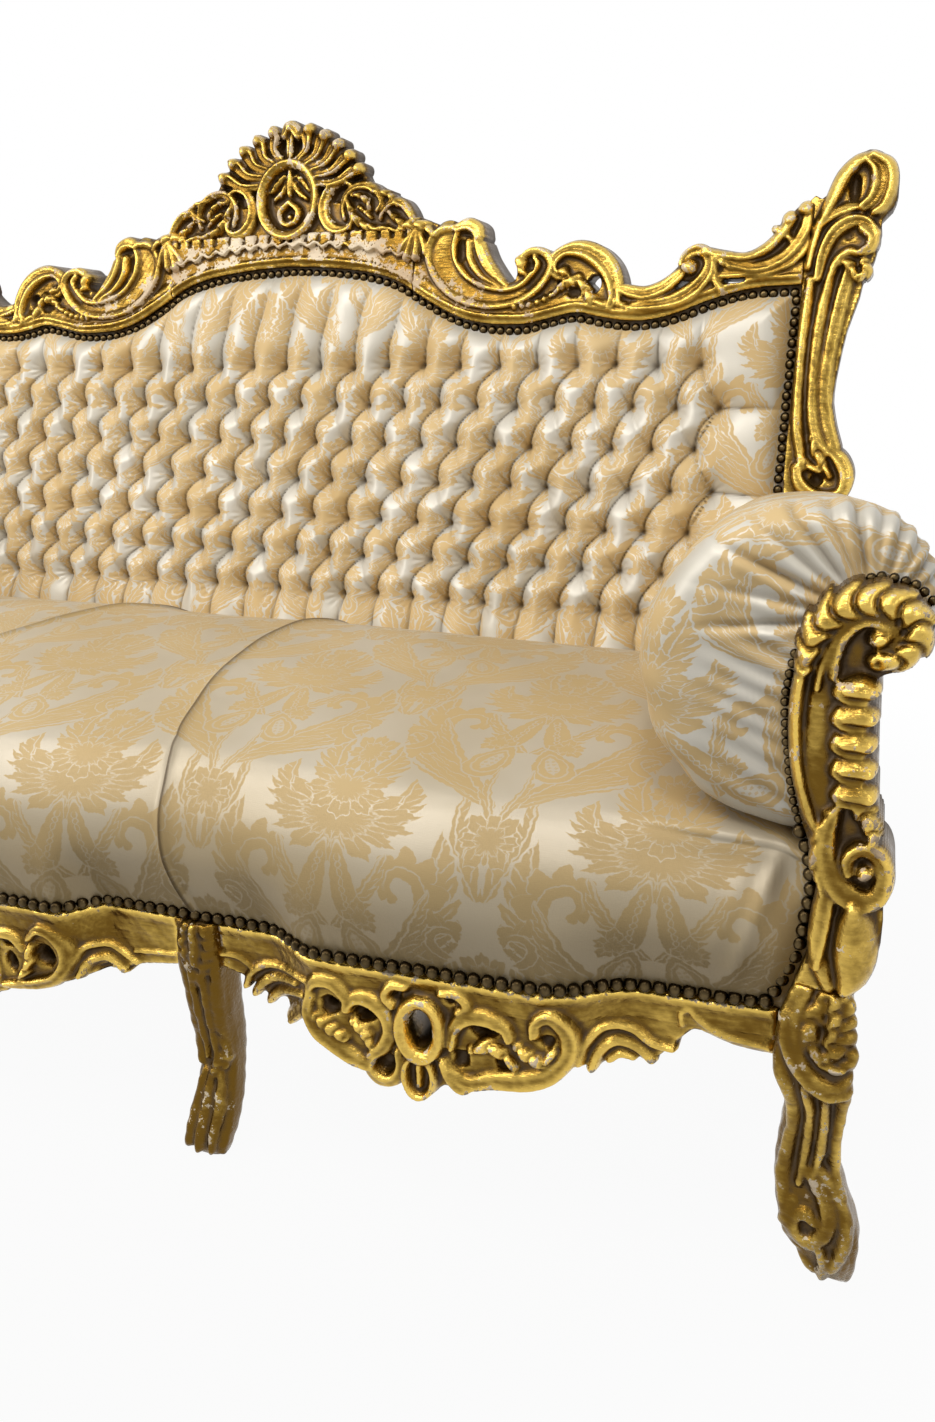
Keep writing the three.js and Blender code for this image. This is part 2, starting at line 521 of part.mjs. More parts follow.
// Tufted back: a diamond lattice of buttons and crowns, square pleats above and below it.
function tuftedPad() {
  const half = tuft.pitch / 2;
  const edgeX = back.halfWidth - back.reveal;
  const latticeCount = Math.floor((edgeX - tuft.border - half / 2) / half);
  const lattice = spread(-latticeCount * half, latticeCount * half, 2 * latticeCount + 1);
  const xs = [-edgeX, tuft.border - edgeX, ...lattice, edgeX - tuft.border, edgeX];
  const columns = xs.length - 1;
  const latticeTop = tuft.lowestRow + (tuft.rows - 1) * tuft.rowPitch;
  const depthAt = (column, row) => {
    const button = (column + row) % 2 === 1;
    return button ? tuft.buttonDepth : tuft.crown;
  };
  const rowHeights = (x) => {
    const top = panelTop(x) - back.reveal;
    const rows = Array.from({ length: 2 * tuft.rows - 1 }, (_, i) => tuft.lowestRow + (i * tuft.rowPitch) / 2);
    return [back.padBottom, mix(back.padBottom, tuft.lowestRow, 0.55), ...rows,
      mix(latticeTop, top, 0.4), top - tuft.border, top];
  };
  const grid = [];
  for (let i = 0; i <= columns; i += 1) {
    const x = xs[i];
    const heights = rowHeights(x);
    heights.forEach((z, j) => {
      const edge = j === 0 || j >= heights.length - 2 || i < 2 || i > columns - 2;
      const pleat = i % 2 === 0 ? tuft.foldDepth : tuft.crown;
      const inLattice = j >= 2 && j < 2 + 2 * tuft.rows - 1;
      const row = j - 2;
      const diamond = row % 2 === 0 ? depthAt(i, row / 2) : mix(tuft.foldDepth, tuft.crown, 0.5);
      const stand = edge ? back.padEdge : (inLattice ? diamond : pleat);
      grid.push(new THREE.Vector3(x, backY(z) - stand, z));
    });
  }
  const tall = rowHeights(0).length;
  const triangles = [];
  for (let i = 0; i < columns; i += 1) {
    for (let j = 0; j + 1 < tall; j += 1) {
      const [a, b, c, d] = [i * tall + j, (i + 1) * tall + j, (i + 1) * tall + j + 1, i * tall + j + 1];
      triangles.push(...((i + j) % 2 ? [[a, b, c], [a, c, d]] : [[a, b, d], [b, c, d]]));
    }
  }
  const rim = [
    ...Array.from({ length: columns + 1 }, (_, i) => i * tall),
    ...Array.from({ length: tall - 1 }, (_, j) => columns * tall + j + 1),
    ...Array.from({ length: columns }, (_, i) => (columns - 1 - i) * tall + tall - 1),
    ...Array.from({ length: tall - 2 }, (_, j) => tall - 2 - j),
  ];
  const rear = rim.map((index) => new THREE.Vector3(grid[index].x, backY(grid[index].z) + back.padRear,
    grid[index].z));
  const first = grid.length;
  rim.forEach((index, k) => {
    const next = (k + 1) % rim.length;
    triangles.push([rim[next], index, first + k], [rim[next], first + k, first + next]);
  });
  const faces = THREE.ShapeUtils.triangulateShape(rear.map(onXZ), []);
  const [p, q, r] = faces[0].map((index) => rear[index]);
  const towardsFront = (q.x - p.x) * (r.z - p.z) - (q.z - p.z) * (r.x - p.x) > 0;
  triangles.push(...faces.map(([a, b, c]) => (towardsFront ? [a, c, b] : [a, b, c]).map((index) => first + index)));
  return closedMesh([...grid, ...rear], triangles);
}

// A thin sheet behind the back panel, from one height up to the nail line.
function backSheet(bottom, start, thickness, halfWidth) {
  const top = spread(halfWidth, -halfWidth, 40).map((x) => new THREE.Vector2(x, panelTop(x) - back.reveal));
  const outline = [new THREE.Vector2(-halfWidth, bottom), new THREE.Vector2(halfWidth, bottom), ...top];
  return leanBack(plate(outline, [], start, thickness, 0));
}

// Where the rolled arm's section lies along its length: it draws in and drops towards the back.
const armBottom = upper(armShares[0]).y;
const armTop = Math.max(...armShares.map((point) => upper(point).y));
const armRear = (z) => backY(z) - tuft.crown - arm.backClearance;
function armPlace(x, y, z) {
  const t = (y - arm.front) / (armRear(armBottom) - arm.front);
  const drop = arm.rearDrop * t * Math.max(0, (z - armBottom) / (armTop - armBottom));
  return new THREE.Vector3(x + arm.rearShift * t, y, z - drop);
}

// Rolled arm pad: its front face gathers in pleats towards the scroll, and the post is let into it.
function armPad() {
  const contour = new THREE.SplineCurve([...armShares, armShares[0]].map(upper)).getSpacedPoints(arm.contourPoints);
  contour.pop();
  const faces = armFaceShares.map(([t, scale]) => [() => arm.front + t * arm.faceRound, scale]);
  const body = armBodyShares.map((t) => [(z) => mix(arm.front, armRear(z), t), 1]);
  const rings = [...faces, ...body].map(([yAt, scale]) => contour.map((point, k) => {
    const pleat = arm.pleatDepth * (1 - scale) / (1 - armFaceShares[0][1])
      * Math.cos((2 * Math.PI * arm.pleats * k) / contour.length) ** 2;
    const z = mix(arm.rollZ, point.y, scale);
    return armPlace(mix(armFrame.x, point.x, scale), yAt(z) + pleat, z);
  }));
  return cutFrom(loft(rings, onXZ), [armPostBlank(fit)]);
}

// A straight beam whose ends are given by their middles, square to Y.
function beam(front, rear, width, height) {
  const geometry = new THREE.BoxGeometry(width, rear.y - front.y, height);
  const length = rear.y - front.y;
  return reshape(geometry, (point) => {
    const t = point.y / length + 0.5;
    point.x += mix(front.x, rear.x, t);
    point.y += (front.y + rear.y) / 2;
    point.z += mix(front.z, rear.z, t);
  });
}
function box(width, depth, height, x, y, z) {
  return new THREE.BoxGeometry(width, depth, height).translate(x, y, z);
}

add('crest_rail_centre', crestCentre(), gilding);
addPair('crest_rail', crestSide(), gilding);
add('crest_shell', crestShell(), gilding);
addPair('back_stile', backStile(), gilding);

const rearMidOutline = [
  [-rearMidLeg.width / 2, rearMidLeg.top - fit], [-rearMidLeg.width / 2, rearMidLeg.top / 2],
  [-rearMidLeg.width / 3, 0], [rearMidLeg.width / 3, 0],
  [rearMidLeg.width / 2, rearMidLeg.top / 2], [rearMidLeg.width / 2, rearMidLeg.top - fit],
].map(([x, z]) => new THREE.Vector2(rearMidLeg.x + x, z));
addPair('back_mid_leg', leanBack(plate(rearMidOutline, [], 0, rearMidLeg.depth, 0)), gilding);

// Front legs stand between the lengths of the front rail.
const cornerLegSolid = leg(cornerLegShares, cornerLeg, cornerLeg.top);
const midLegSolid = leg(midLegShares, midLeg, frontRailTop);
cornerLegSolid.computeBoundingBox();
midLegSolid.computeBoundingBox();
const cornerInner = cornerLegSolid.boundingBox.min.x - fit;
const midInner = midLegSolid.boundingBox.min.x - fit;
const midOuter = midLegSolid.boundingBox.max.x + fit;
addPair('front_leg', cornerLegSolid, gilding);
addPair('front_mid_leg', midLegSolid, gilding);
add('front_rail_centre', apron(centreApronShares, -midInner, midInner, 31, [
  ...centrePiercingShares, ...centrePiercingShares.slice(1).map(([x, ...rest]) => [-x, ...rest])]), gilding);
addPair('front_rail', apron(sideApronShares, midOuter, cornerInner, 37, sidePiercingShares), gilding);
addPair('arm_post', armPost(), gilding);

// Rails, uprights and blocks of the hidden frame.
const stileInner = upper(stileShares[0]).x;
const railMiddle = (seatDeck + rearMidLeg.top) / 2;
add('back_seat_rail', box(2 * (stileInner - fit), backRail.thickness, seatDeck - rearMidLeg.top,
  0, backRailY + backRail.thickness / 2, railMiddle), bareWood);
const railBack = frontY(rail.reach) + rail.thickness + sideRail.endClearance;
const sideFront = new THREE.Vector3(sideRail.frontX, railBack, seatDeck - sideRail.height / 2);
const sideRear = new THREE.Vector3(stileInner + sideRail.thickness / 2, sideRail.rearY, sideFront.z);
addPair('side_rail', beam(sideFront, sideRear, sideRail.thickness, sideRail.height), bareWood);

const armRailFront = postFront + post.depth + fit;
function armRail(z, height) {
  const x = armFrame.x + fit + armFrame.thickness / 2;
  const rearY = backY(z - height) - back.faceStand - armFrame.endClearance;
  return beam(armPlace(x, armRailFront, z), armPlace(x, rearY, z), armFrame.thickness, height);
}
addPair('arm_top_rail', armRail(armFrame.topRailZ, armFrame.topRailHeight), bareWood);
addPair('arm_lower_rail', armRail(armFrame.lowRailZ + armFrame.lowRailHeight / 2, armFrame.lowRailHeight), bareWood);
const outsideArmX = armFrame.x + armFrame.thickness + outsideArm.stand;
function outsideArmCover() {
  return reshape(new THREE.BoxGeometry(outsideArm.thickness, 1, 1), (point) => {
    const z = mix(outsideArm.bottom, outsideArm.top, point.z + 0.5);
    const placed = armPlace(outsideArmX, mix(armRailFront, backY(z), point.y + 0.5), z);
    point.set(point.x + placed.x, placed.y, placed.z);
  });
}
addPair('outside_arm_cover', outsideArmCover(), damask);

const frameStart = back.padRear + back.clothThickness + back.webThickness + 3 * fit;
function uprightOutline(x) {
  const half = upright.width / 2;
  const foot = lowerRail.z + lowerRail.height + fit;
  const head = panelTop(x) - upright.width;
  return [[-half, foot], [half, foot], [half, head], [-half, head]].map(([dx, z]) => new THREE.Vector2(x + dx, z));
}
addPair('back_upright', leanBack(plate(uprightOutline(upright.x), [], frameStart, back.frameThickness, 0)), bareWood);
const lowerRailReach = stileInner - fit;
add('back_lower_rail', leanBack(plate([[-1, 0], [1, 0], [1, 1], [-1, 1]].map(([x, z]) => (
  new THREE.Vector2(x * lowerRailReach, lowerRail.z + z * lowerRail.height))), [], frameStart, back.frameThickness, 0)), bareWood);

const braceFront = midLegSolid.boundingBox.max.y + fit;
addPair('seat_brace', beam(new THREE.Vector3(midLeg.x, braceFront, seatDeck - brace.height / 2),
  new THREE.Vector3(midLeg.x, backRailY - fit, seatDeck - brace.height / 2), brace.width, brace.height), bareWood);

// A triangular block in a corner of the seat frame, its two legs along the rails.
function cornerBlock(x, y, towardsY) {
  const shape = new THREE.Shape([[0, 0], [-1, 0], [0, towardsY]].map(([u, v]) => (
    new THREE.Vector2(x + u * block.leg, y + v * block.leg))));
  return new THREE.ExtrudeGeometry(shape, { depth: block.height, bevelEnabled: false })
    .translate(0, 0, seatDeck - block.drop - block.height);
}
const blockShare = block.leg / (sideRear.y - sideFront.y);
const frontBlockX = mix(sideFront.x, sideRear.x, blockShare) - sideRail.thickness / 2 - fit;
const frontBlockY = sideFront.y;
addPair('front_corner_block', cornerBlock(frontBlockX, frontBlockY, 1), bareWood);
addPair('rear_corner_block', cornerBlock(stileInner - fit, backRailY - fit, -1), bareWood);

// Seat platform: webbing, its cloth and the dust cover are level sheets that follow the front rail.
function levelSheet(z, thickness, margin, reach, rearY) {
  const front = spread(-reach, reach, 25).map((x) => (
    new THREE.Vector2(x, frontY(x) + rail.thickness + margin)));
  const shape = new THREE.Shape([...front, new THREE.Vector2(reach, rearY), new THREE.Vector2(-reach, rearY)]);
  return new THREE.ExtrudeGeometry(shape, { depth: thickness, bevelEnabled: false }).translate(0, 0, z);
}
// Middles of the square gaps between crossing straps.
function gapCentres(columns, rows, firstX, firstY) {
  const pitch = webbing.strap + webbing.gap;
  return Array.from({ length: columns * rows }, (_, i) => new THREE.Vector2(
    firstX + (i % columns) * pitch + webbing.gap / 2, firstY + Math.floor(i / columns) * pitch + webbing.gap / 2));
}
const pitchOfWebbing = webbing.strap + webbing.gap;
const seatSheetRear = backRailY - fit;
const seatSheetHalf = stileInner - fit;
const strapsAcross = (halfWidth) => Math.floor((2 * halfWidth - webbing.strap) / pitchOfWebbing);
const firstGapX = (count) => (webbing.strap - count * pitchOfWebbing) / 2;
const acrossSeat = strapsAcross(seatSheetHalf);
const seatGapY = seatSheetRear - webbing.alongSeat * pitchOfWebbing;
const webbingZ = seatDeck + fit;
const seatGaps = gapCentres(acrossSeat, webbing.alongSeat, firstGapX(acrossSeat), seatGapY)
  .map((centre) => box(webbing.gap, webbing.gap, overrun, centre.x, centre.y, webbingZ));
add('seat_webbing', cutFrom(levelSheet(webbingZ, back.webThickness, platformMargin, seatSheetHalf, seatSheetRear), seatGaps), jute);
add('seat_base_cloth', levelSheet(webbingZ + back.webThickness + fit, back.clothThickness, platformMargin,
  seatSheetHalf, seatSheetRear), jute);
add('dust_cover', levelSheet(rearMidLeg.top - dust.thickness - fit - (sideRail.height - (seatDeck - rearMidLeg.top)),
  dust.thickness, dust.margin, seatSheetHalf, seatSheetRear), jute);

// Seat: stuffing under a cover of three widths sewn edge to edge.
add('seat_stuffing', seatStuffing(), wadding);
add('seat_cover_centre', seatCover(mirrored([...seatCentreStations.slice(0, -1), seat.seamFront - fit])), damask);
addPair('seat_cover', seatCover(seatSideStations), damask);

// Back upholstery, from the tufted pad through cloth and webbing to the outside cover.
add('tufted_back_pad', tuftedPad(), damask);
const backHalf = back.halfWidth - fit;
add('back_base_cloth', backSheet(back.padBottom, back.padRear + fit, back.clothThickness, backHalf), jute);
const backWebbing = backSheet(lowerRail.z, back.padRear + back.clothThickness + 2 * fit, back.webThickness, backHalf);
const acrossBack = strapsAcross(backHalf);
const backGaps = gapCentres(acrossBack, webbing.upBack, firstGapX(acrossBack),
  lowerRail.z + lowerRail.height + webbing.strap)
  .map((centre) => box(webbing.gap, 2 * overrun, webbing.gap, centre.x, backY(centre.y) + back.padRear, centre.y));
add('back_webbing', cutFrom(backWebbing, backGaps), jute);
add('outside_back_cover', backSheet(rearMidLeg.top, back.coverStart, back.coverThickness, backHalf), damask);
addPair('arm_pad', armPad(), damask);

// Rows of domed nails stand as one half-round strip each.
const nailSection = [[-1, 0], [-0.5, 1], [0.5, 1], [1, 0]];
function nailStrip(path, lay, flatten) {
  const rings = path.map((point, i) => {
    const [before, after] = [path[Math.max(0, i - 1)], path[Math.min(path.length - 1, i + 1)]];
    const along = after.clone().sub(before).normalize();
    const across = new THREE.Vector2(-along.y, along.x).multiplyScalar(nail.diameter / 2);
    return nailSection.map(([a, b]) => lay(point.clone().addScaledVector(across, a), b * nail.stand));
  });
  return loft(rings, flatten);
}
const seatNailZ = frontRailTop + nail.diameter / 2 + 2 * fit;
const seatNailPath = mirrored([...seatCentreStations, ...seatSideStations.slice(1)]).map((x) => new THREE.Vector2(x, seatNailZ));
add('seat_nail_strip', nailStrip(seatNailPath,
  (point, stand) => new THREE.Vector3(point.x, frontY(point.x) - nail.seatBase - stand, point.y), onYZ), brass);
const nailInset = nail.diameter / 2 + back.reveal + 2 * fit;
const nailReach = back.halfWidth - nailInset;
const nailTopCorner = panelTop(back.halfWidth) - nailInset;
const backNailPath = [
  ...spread(back.padBottom + overrun, nailTopCorner - nail.diameter, 5).map((z) => new THREE.Vector2(-nailReach, z)),
  ...spread(-nailReach, nailReach, 47).map((x) => new THREE.Vector2(x, panelTop(x) - nailInset)),
  ...spread(nailTopCorner - nail.diameter, back.padBottom + overrun, 5).map((z) => new THREE.Vector2(nailReach, z)),
];
add('back_nail_strip', nailStrip(backNailPath,
  (point, stand) => new THREE.Vector3(point.x, backY(point.y) - back.padEdge - fit - stand, point.y), onXY), brass);
const postNailInset = nail.diameter / 2 + nail.postGap;
const armNailPath = postShares.slice(1, 12).map(upper).map((point) => new THREE.Vector2(point.x - postNailInset, point.y));
add('arm_nail_strip_right', nailStrip(armNailPath,
  (point, stand) => new THREE.Vector3(point.x, arm.front - fit - nail.stand - stand, point.y), onXY), brass);
add('arm_nail_strip_left', nailStrip(armNailPath,
  (point, stand) => new THREE.Vector3(point.x, arm.front - fit - nail.stand - stand, point.y), onXY), brass, true);

// The origin lies under the middle of the whole sofa.
const bounds = new THREE.Box3().setFromObject(sofa);
sofa.position.y = -(bounds.min.y + bounds.max.y) / 2;

export default sofa;
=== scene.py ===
# The cabriole sofa dressed: carved gilded frame, tufted silk damask, domed nails.
# Shapes are worked out in millimetres, with X along the sofa and the front towards -Y.
import math

import bpy
import numpy as np
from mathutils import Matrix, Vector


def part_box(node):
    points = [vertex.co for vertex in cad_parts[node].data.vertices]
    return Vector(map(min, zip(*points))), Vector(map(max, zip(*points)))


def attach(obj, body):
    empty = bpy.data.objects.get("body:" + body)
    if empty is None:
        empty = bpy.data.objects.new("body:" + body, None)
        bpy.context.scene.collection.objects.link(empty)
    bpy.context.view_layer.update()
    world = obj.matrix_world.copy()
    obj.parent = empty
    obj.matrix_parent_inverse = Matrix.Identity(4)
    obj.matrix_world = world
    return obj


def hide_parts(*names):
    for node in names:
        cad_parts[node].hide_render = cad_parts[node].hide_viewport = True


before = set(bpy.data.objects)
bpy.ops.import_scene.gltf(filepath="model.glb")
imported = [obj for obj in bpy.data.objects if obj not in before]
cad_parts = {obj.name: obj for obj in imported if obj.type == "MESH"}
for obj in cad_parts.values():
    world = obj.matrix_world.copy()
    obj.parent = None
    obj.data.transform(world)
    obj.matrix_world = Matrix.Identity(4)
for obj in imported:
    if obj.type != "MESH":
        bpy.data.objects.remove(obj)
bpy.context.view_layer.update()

# Main sizes of the frame.
RAIL_TOP = 300.0
DECK = 290.0
BACK_Y = 250.0
LEAN = 0.17
RAKE = 125.0
POST_FRONT = -406.0
POST_DEPTH = 62.0
POST_SET = 3.0
FRAME_STAND = 10.0
FRAME_DEPTH = 47.0
SHELL_DEPTH = 28.0
APRON_DEPTH = 36.0
BACK_REACH = 828.0
BACK_FOOT = 470.0
STILE_INNER = 826.0
MIDDLE_JOINT = 228.0
GRID = 2.0
FAR = 1e6
MM = 0.001
SIDES = (("right", False), ("left", True))
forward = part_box("arm_post_right")[0].y / MM - POST_FRONT


def smooth(start, end, value):
    share = np.clip((value - start) / (end - start), 0, 1)
    return share * share * (3 - 2 * share)


def mix(a, b, share):
    return a + (b - a) * share


def through(points, spans=6):
    """A smooth curve through the given points, as rows of the same columns."""
    knots = np.array(points, float)
    if len(knots) < 3:
        share = np.linspace(0, 1, spans + 1)[:, None]
        return mix(knots[0], knots[-1], share)
    padded = np.concatenate([[2 * knots[0] - knots[1]], knots, [2 * knots[-1] - knots[-2]]])
    t = np.linspace(0, 1, spans, endpoint=False).reshape(-1, *[1] * (knots.ndim - 1))
    rows = []
    for a, b, c, d in zip(padded, padded[1:], padded[2:], padded[3:]):
        cubic = (2 * b) + (c - a) * t + (2 * a - 5 * b + 4 * c - d) * t**2
        rows.append(0.5 * (cubic + (3 * b - a - 3 * c + d) * t**3))
    rows.append(knots[-1:])
    return np.concatenate(rows)


def round_closed(points, spans=4):
    """A smooth closed curve through the given points."""
    knots = [tuple(point) for point in points]
    wide = through([knots[-2], knots[-1], *knots, knots[0], knots[1]], spans)
    return wide[2 * spans:-2 * spans - 1]


def evenly(path, pitch):
    """Points along a path, a pitch apart, with the direction at each."""
    way = walked(path[:, :2])
    at = np.linspace(0, way[-1], max(2, int(round(way[-1] / pitch)) + 1))
    spots = np.stack([np.interp(at, way, column) for column in path.T], axis=1)
    return spots, np.gradient(spots, axis=0)


def walked(path):
    """The way gone along a path at each of its points."""
    return np.concatenate([[0], np.cumsum(np.linalg.norm(np.diff(path, axis=0), axis=1))])


def wobble(x, z, seed, scale):
    """A slow unevenness between -1 and 1, as a carver's hand leaves."""
    turn = np.sin(x / scale + seed) * np.cos(z / (1.3 * scale) - 2 * seed)
    return 0.6 * turn + 0.4 * np.sin(1.9 * x / scale + 2.3 * z / scale + 3 * seed)


# Lines of the frame.
PANEL_TOP = through([
    (0, 1059), (60, 1056), (110, 1051), (160, 1043), (205, 1028), (250, 1002), (300, 977), (340, 965),
    (380, 961), (420, 961), (460, 969), (500, 976), (535, 969), (575, 963), (610, 963), (650, 971),
    (700, 989), (760, 1003), (830, 1006),
])


def panel_top(x):
    """The height of the back panel's upper edge."""
    return np.interp(np.abs(x), PANEL_TOP[:, 0], PANEL_TOP[:, 1])


def back_y(z):
    """The back's plane: leaning above the deck, raked below it."""
    below = np.clip((DECK - z) / DECK, 0, None)
    return BACK_Y + LEAN * np.clip(z - DECK, 0, None) + RAKE * below**2


FRONT_MIDDLE = 418.0
FRONT_END = 370.0
FRONT_HALF = 920.0
CENTRE_SWELL = 40.0
SIDE_SWELL = 36.0


def front_y(x):
    """The serpentine line of the front rail."""
    a = np.abs(x)
    sweep = mix(FRONT_MIDDLE, FRONT_END, np.minimum(1, a / FRONT_HALF) ** 2)
    centre = CENTRE_SWELL * (1 - smooth(130, 180, a))
    side = SIDE_SWELL * smooth(380, 460, a) * (1 - smooth(700, 785, a))
    return -(sweep + centre + side)


def lay_back(x, z, proud):
    return np.stack([x, back_y(z) - FRAME_STAND - proud, z], axis=-1)


def lay_front(x, z, proud):
    return np.stack([x, front_y(x) - proud, z], axis=-1)


def lay_post(x, z, proud):
    return np.stack([x, POST_FRONT + POST_SET - proud, z], axis=-1)


# Shader sums and finishes.
class Term:
    """A shader value that takes part in Python sums."""

    def __init__(self, nodes, socket):
        self.nodes = nodes
        self.socket = socket

    def math(self, operation, *others):
        return self.nodes.math(operation, self, *others)

    def __add__(self, other):
        return self.math("ADD", other)

    def __sub__(self, other):
        return self.math("SUBTRACT", other)

    def __rsub__(self, other):
        return self.nodes.math("SUBTRACT", other, self)

    def __mul__(self, other):
        return self.math("MULTIPLY", other)

    def __truediv__(self, other):
        return self.math("DIVIDE", other)

    def __rtruediv__(self, other):
        return self.nodes.math("DIVIDE", other, self)

    def __pow__(self, other):
        return self.math("POWER", other)

    __radd__ = __add__
    __rmul__ = __mul__

    def __neg__(self):
        return self * -1

    def __abs__(self):
        return self.math("ABSOLUTE")

    def fraction(self):
        return self.math("FRACT")

    def sine(self):
        return self.math("SINE")

    def least(self, other):
        return self.math("MINIMUM", other)

    def most(self, other):
        return self.math("MAXIMUM", other)

    def ramp(self, start, end):
        """0 before start, 1 after end, and smooth between."""
        settings = {"interpolation_type": "SMOOTHSTEP"}
        values = {"Value": self, "From Min": start, "From Max": end}
        return self.nodes.node("ShaderNodeMapRange", settings, values)


# Besides the eye, clear and shiny things show the room.
SEEN_THROUGH = ("Transmission", "Glossy")


class Nodes:
    """A node tree, built from single nodes and from sums of their values."""

    def __init__(self, tree):
        self.tree = tree

    def node(self, kind, settings=None, values=None, out=0):
        """Adds a node: its settings first, then the values or links of its sockets."""
        node = self.tree.nodes.new(kind)
        for key, value in (settings or {}).items():
            setattr(node, key, value)
        for key, value in (values or {}).items():
            socket = node.inputs[key]
            if isinstance(value, Term):
                self.tree.links.new(value.socket, socket)
            else:
                socket.default_value = value
        return Term(self, node.outputs[out]) if node.outputs else None

    def math(self, operation, *values):
        return self.node("ShaderNodeMath", {"operation": operation}, dict(enumerate(values)))

    def position(self):
        return self.node("ShaderNodeNewGeometry", out="Position")

    def background_seen(self):
        """1 to the eye and in reflections and clear things, and 0 as a light."""
        eye = self.node("ShaderNodeLightPath", out="Is Camera Ray")
        clear, glossy = [Term(self, eye.socket.node.outputs[f"Is {kind} Ray"]) for kind in SEEN_THROUGH]
        return eye.most(clear).most(glossy)


class Finish(Nodes):
    """One material, with what varies over it written as sums."""

    def __init__(self, name, **constants):
        self.material = bpy.data.materials.new(name)
        self.material.use_nodes = True
        super().__init__(self.material.node_tree)
        self.shader = self.tree.nodes["Principled BSDF"]
        for socket, value in constants.items():
            self.shader.inputs[socket.replace("_", " ")].default_value = value

    def attribute(self, name, out="Fac"):
        return self.node("ShaderNodeAttribute", {"attribute_name": name}, out=out)

    def place(self, scale=(1, 1, 1)):
        """The point on the object, stretched by a scale."""
        return self.stretch(self.position(), scale)

    def stretch(self, vector, scale):
        return self.node("ShaderNodeVectorMath", {"operation": "MULTIPLY"}, {0: vector, 1: scale})

    def parts(self, vector):
        split = self.node("ShaderNodeSeparateXYZ", values={0: vector})
        return [Term(self, socket) for socket in split.socket.node.outputs]

    def noise(self, vector, scale, detail=3.0, roughness=0.55):
        values = {"Vector": vector, "Scale": scale, "Detail": detail, "Roughness": roughness}
        return self.node("ShaderNodeTexNoise", values=values, out="Fac")

    def blend(self, share, first, second):
        """A colour between two, by a share from 0 to 1."""
        shades = [shade if isinstance(shade, Term) else (*shade, 1) for shade in (first, second)]
        values = {"Factor": share, 6: shades[0], 7: shades[1]}
        return self.node("ShaderNodeMix", {"data_type": "RGBA"}, values, out=2)

    def feed(self, **terms):
        for socket, term in terms.items():
            self.tree.links.new(term.socket, self.shader.inputs[socket.replace("_", " ")])

    def bump(self, height, distance, strength=1.0):
        values = {"Height": height, "Distance": distance, "Strength": strength}
        self.feed(Normal=self.node("ShaderNodeBump", values=values, out="Normal"))


LEAF_DULL = (0.14, 0.074, 0.008)
LEAF_BRIGHT = (0.78, 0.53, 0.115)
BOLE_AND_SHADE = (0.066, 0.035, 0.008)
CHALK_DULL = (0.54, 0.40, 0.25)
CHALK_PALE = (0.76, 0.66, 0.50)


def gilding():
    """Worn gold leaf over brown bole: bright on the carving's backs as a painted highlight, and brown in
    its hollows, partly bole and partly painted shade.
    """
    finish = Finish("worn_gilding", Specular_IOR_Level=0.5)
    relief = finish.attribute("relief")
    wear = finish.attribute("wear")
    age = finish.attribute("age")
    point = finish.place()
    broad = finish.noise(point, 8.0, 4.0)
    patch = finish.noise(point, 34.0, 5.0, 0.65)
    streak = finish.noise(finish.place((40, 240, 240)), 1.0, 4.0, 0.6)
    fine = finish.noise(point, 190.0, 4.0, 0.6)
    # Painted highlight: the relief lightens the leaf on the carving's raised backs.
    tone = relief * 0.85 + 0.38 + (broad - 0.5) * 1.1 + (streak - 0.5) * 0.5 - age
    bright = (tone + (patch - 0.5) * 0.8).ramp(0.05, 1.05)
    leaf = finish.blend(bright, LEAF_DULL, LEAF_BRIGHT)
    # Hollows, board rims and walls turn to bole: partly bole showing, partly painted shade.
    hollow = (relief * -1.0 + age * 0.3 + (patch - 0.5) * 0.5).ramp(0.1, 0.68)
    leaf_bole_and_shade = finish.blend(hollow * 0.97, leaf, BOLE_AND_SHADE)
    rubbed = (relief * 0.4 + wear + (patch - 0.5) * 2.2 + (fine - 0.5) * 1.2).ramp(0.6, 0.66)
    chalk = finish.blend(broad.ramp(0.35, 0.65), CHALK_DULL, CHALK_PALE)
    finish.feed(
        Base_Color=finish.blend(rubbed, leaf_bole_and_shade, chalk),
        Metallic=(1 - rubbed) * (1 - hollow * 0.65) * 0.92,
        Roughness=(0.2 + hollow * 0.3 + rubbed * 0.4 + (fine - 0.5) * 0.2).most(0.12),
    )
    finish.bump(streak * 0.5 + fine * 0.2 + patch * 0.8, 0.0023, 0.8)
    return finish.material


SATIN_DULL = (0.54, 0.505, 0.425)
SATIN_PALE = (0.65, 0.62, 0.55)
BEIGE_DULL = (0.575, 0.41, 0.19)
BEIGE_PALE = (0.65, 0.485, 0.25)
SEAT_SOIL_AND_SHADE = (0.36, 0.262, 0.12)
FOLD_SHADE = (0.11, 0.07, 0.035)


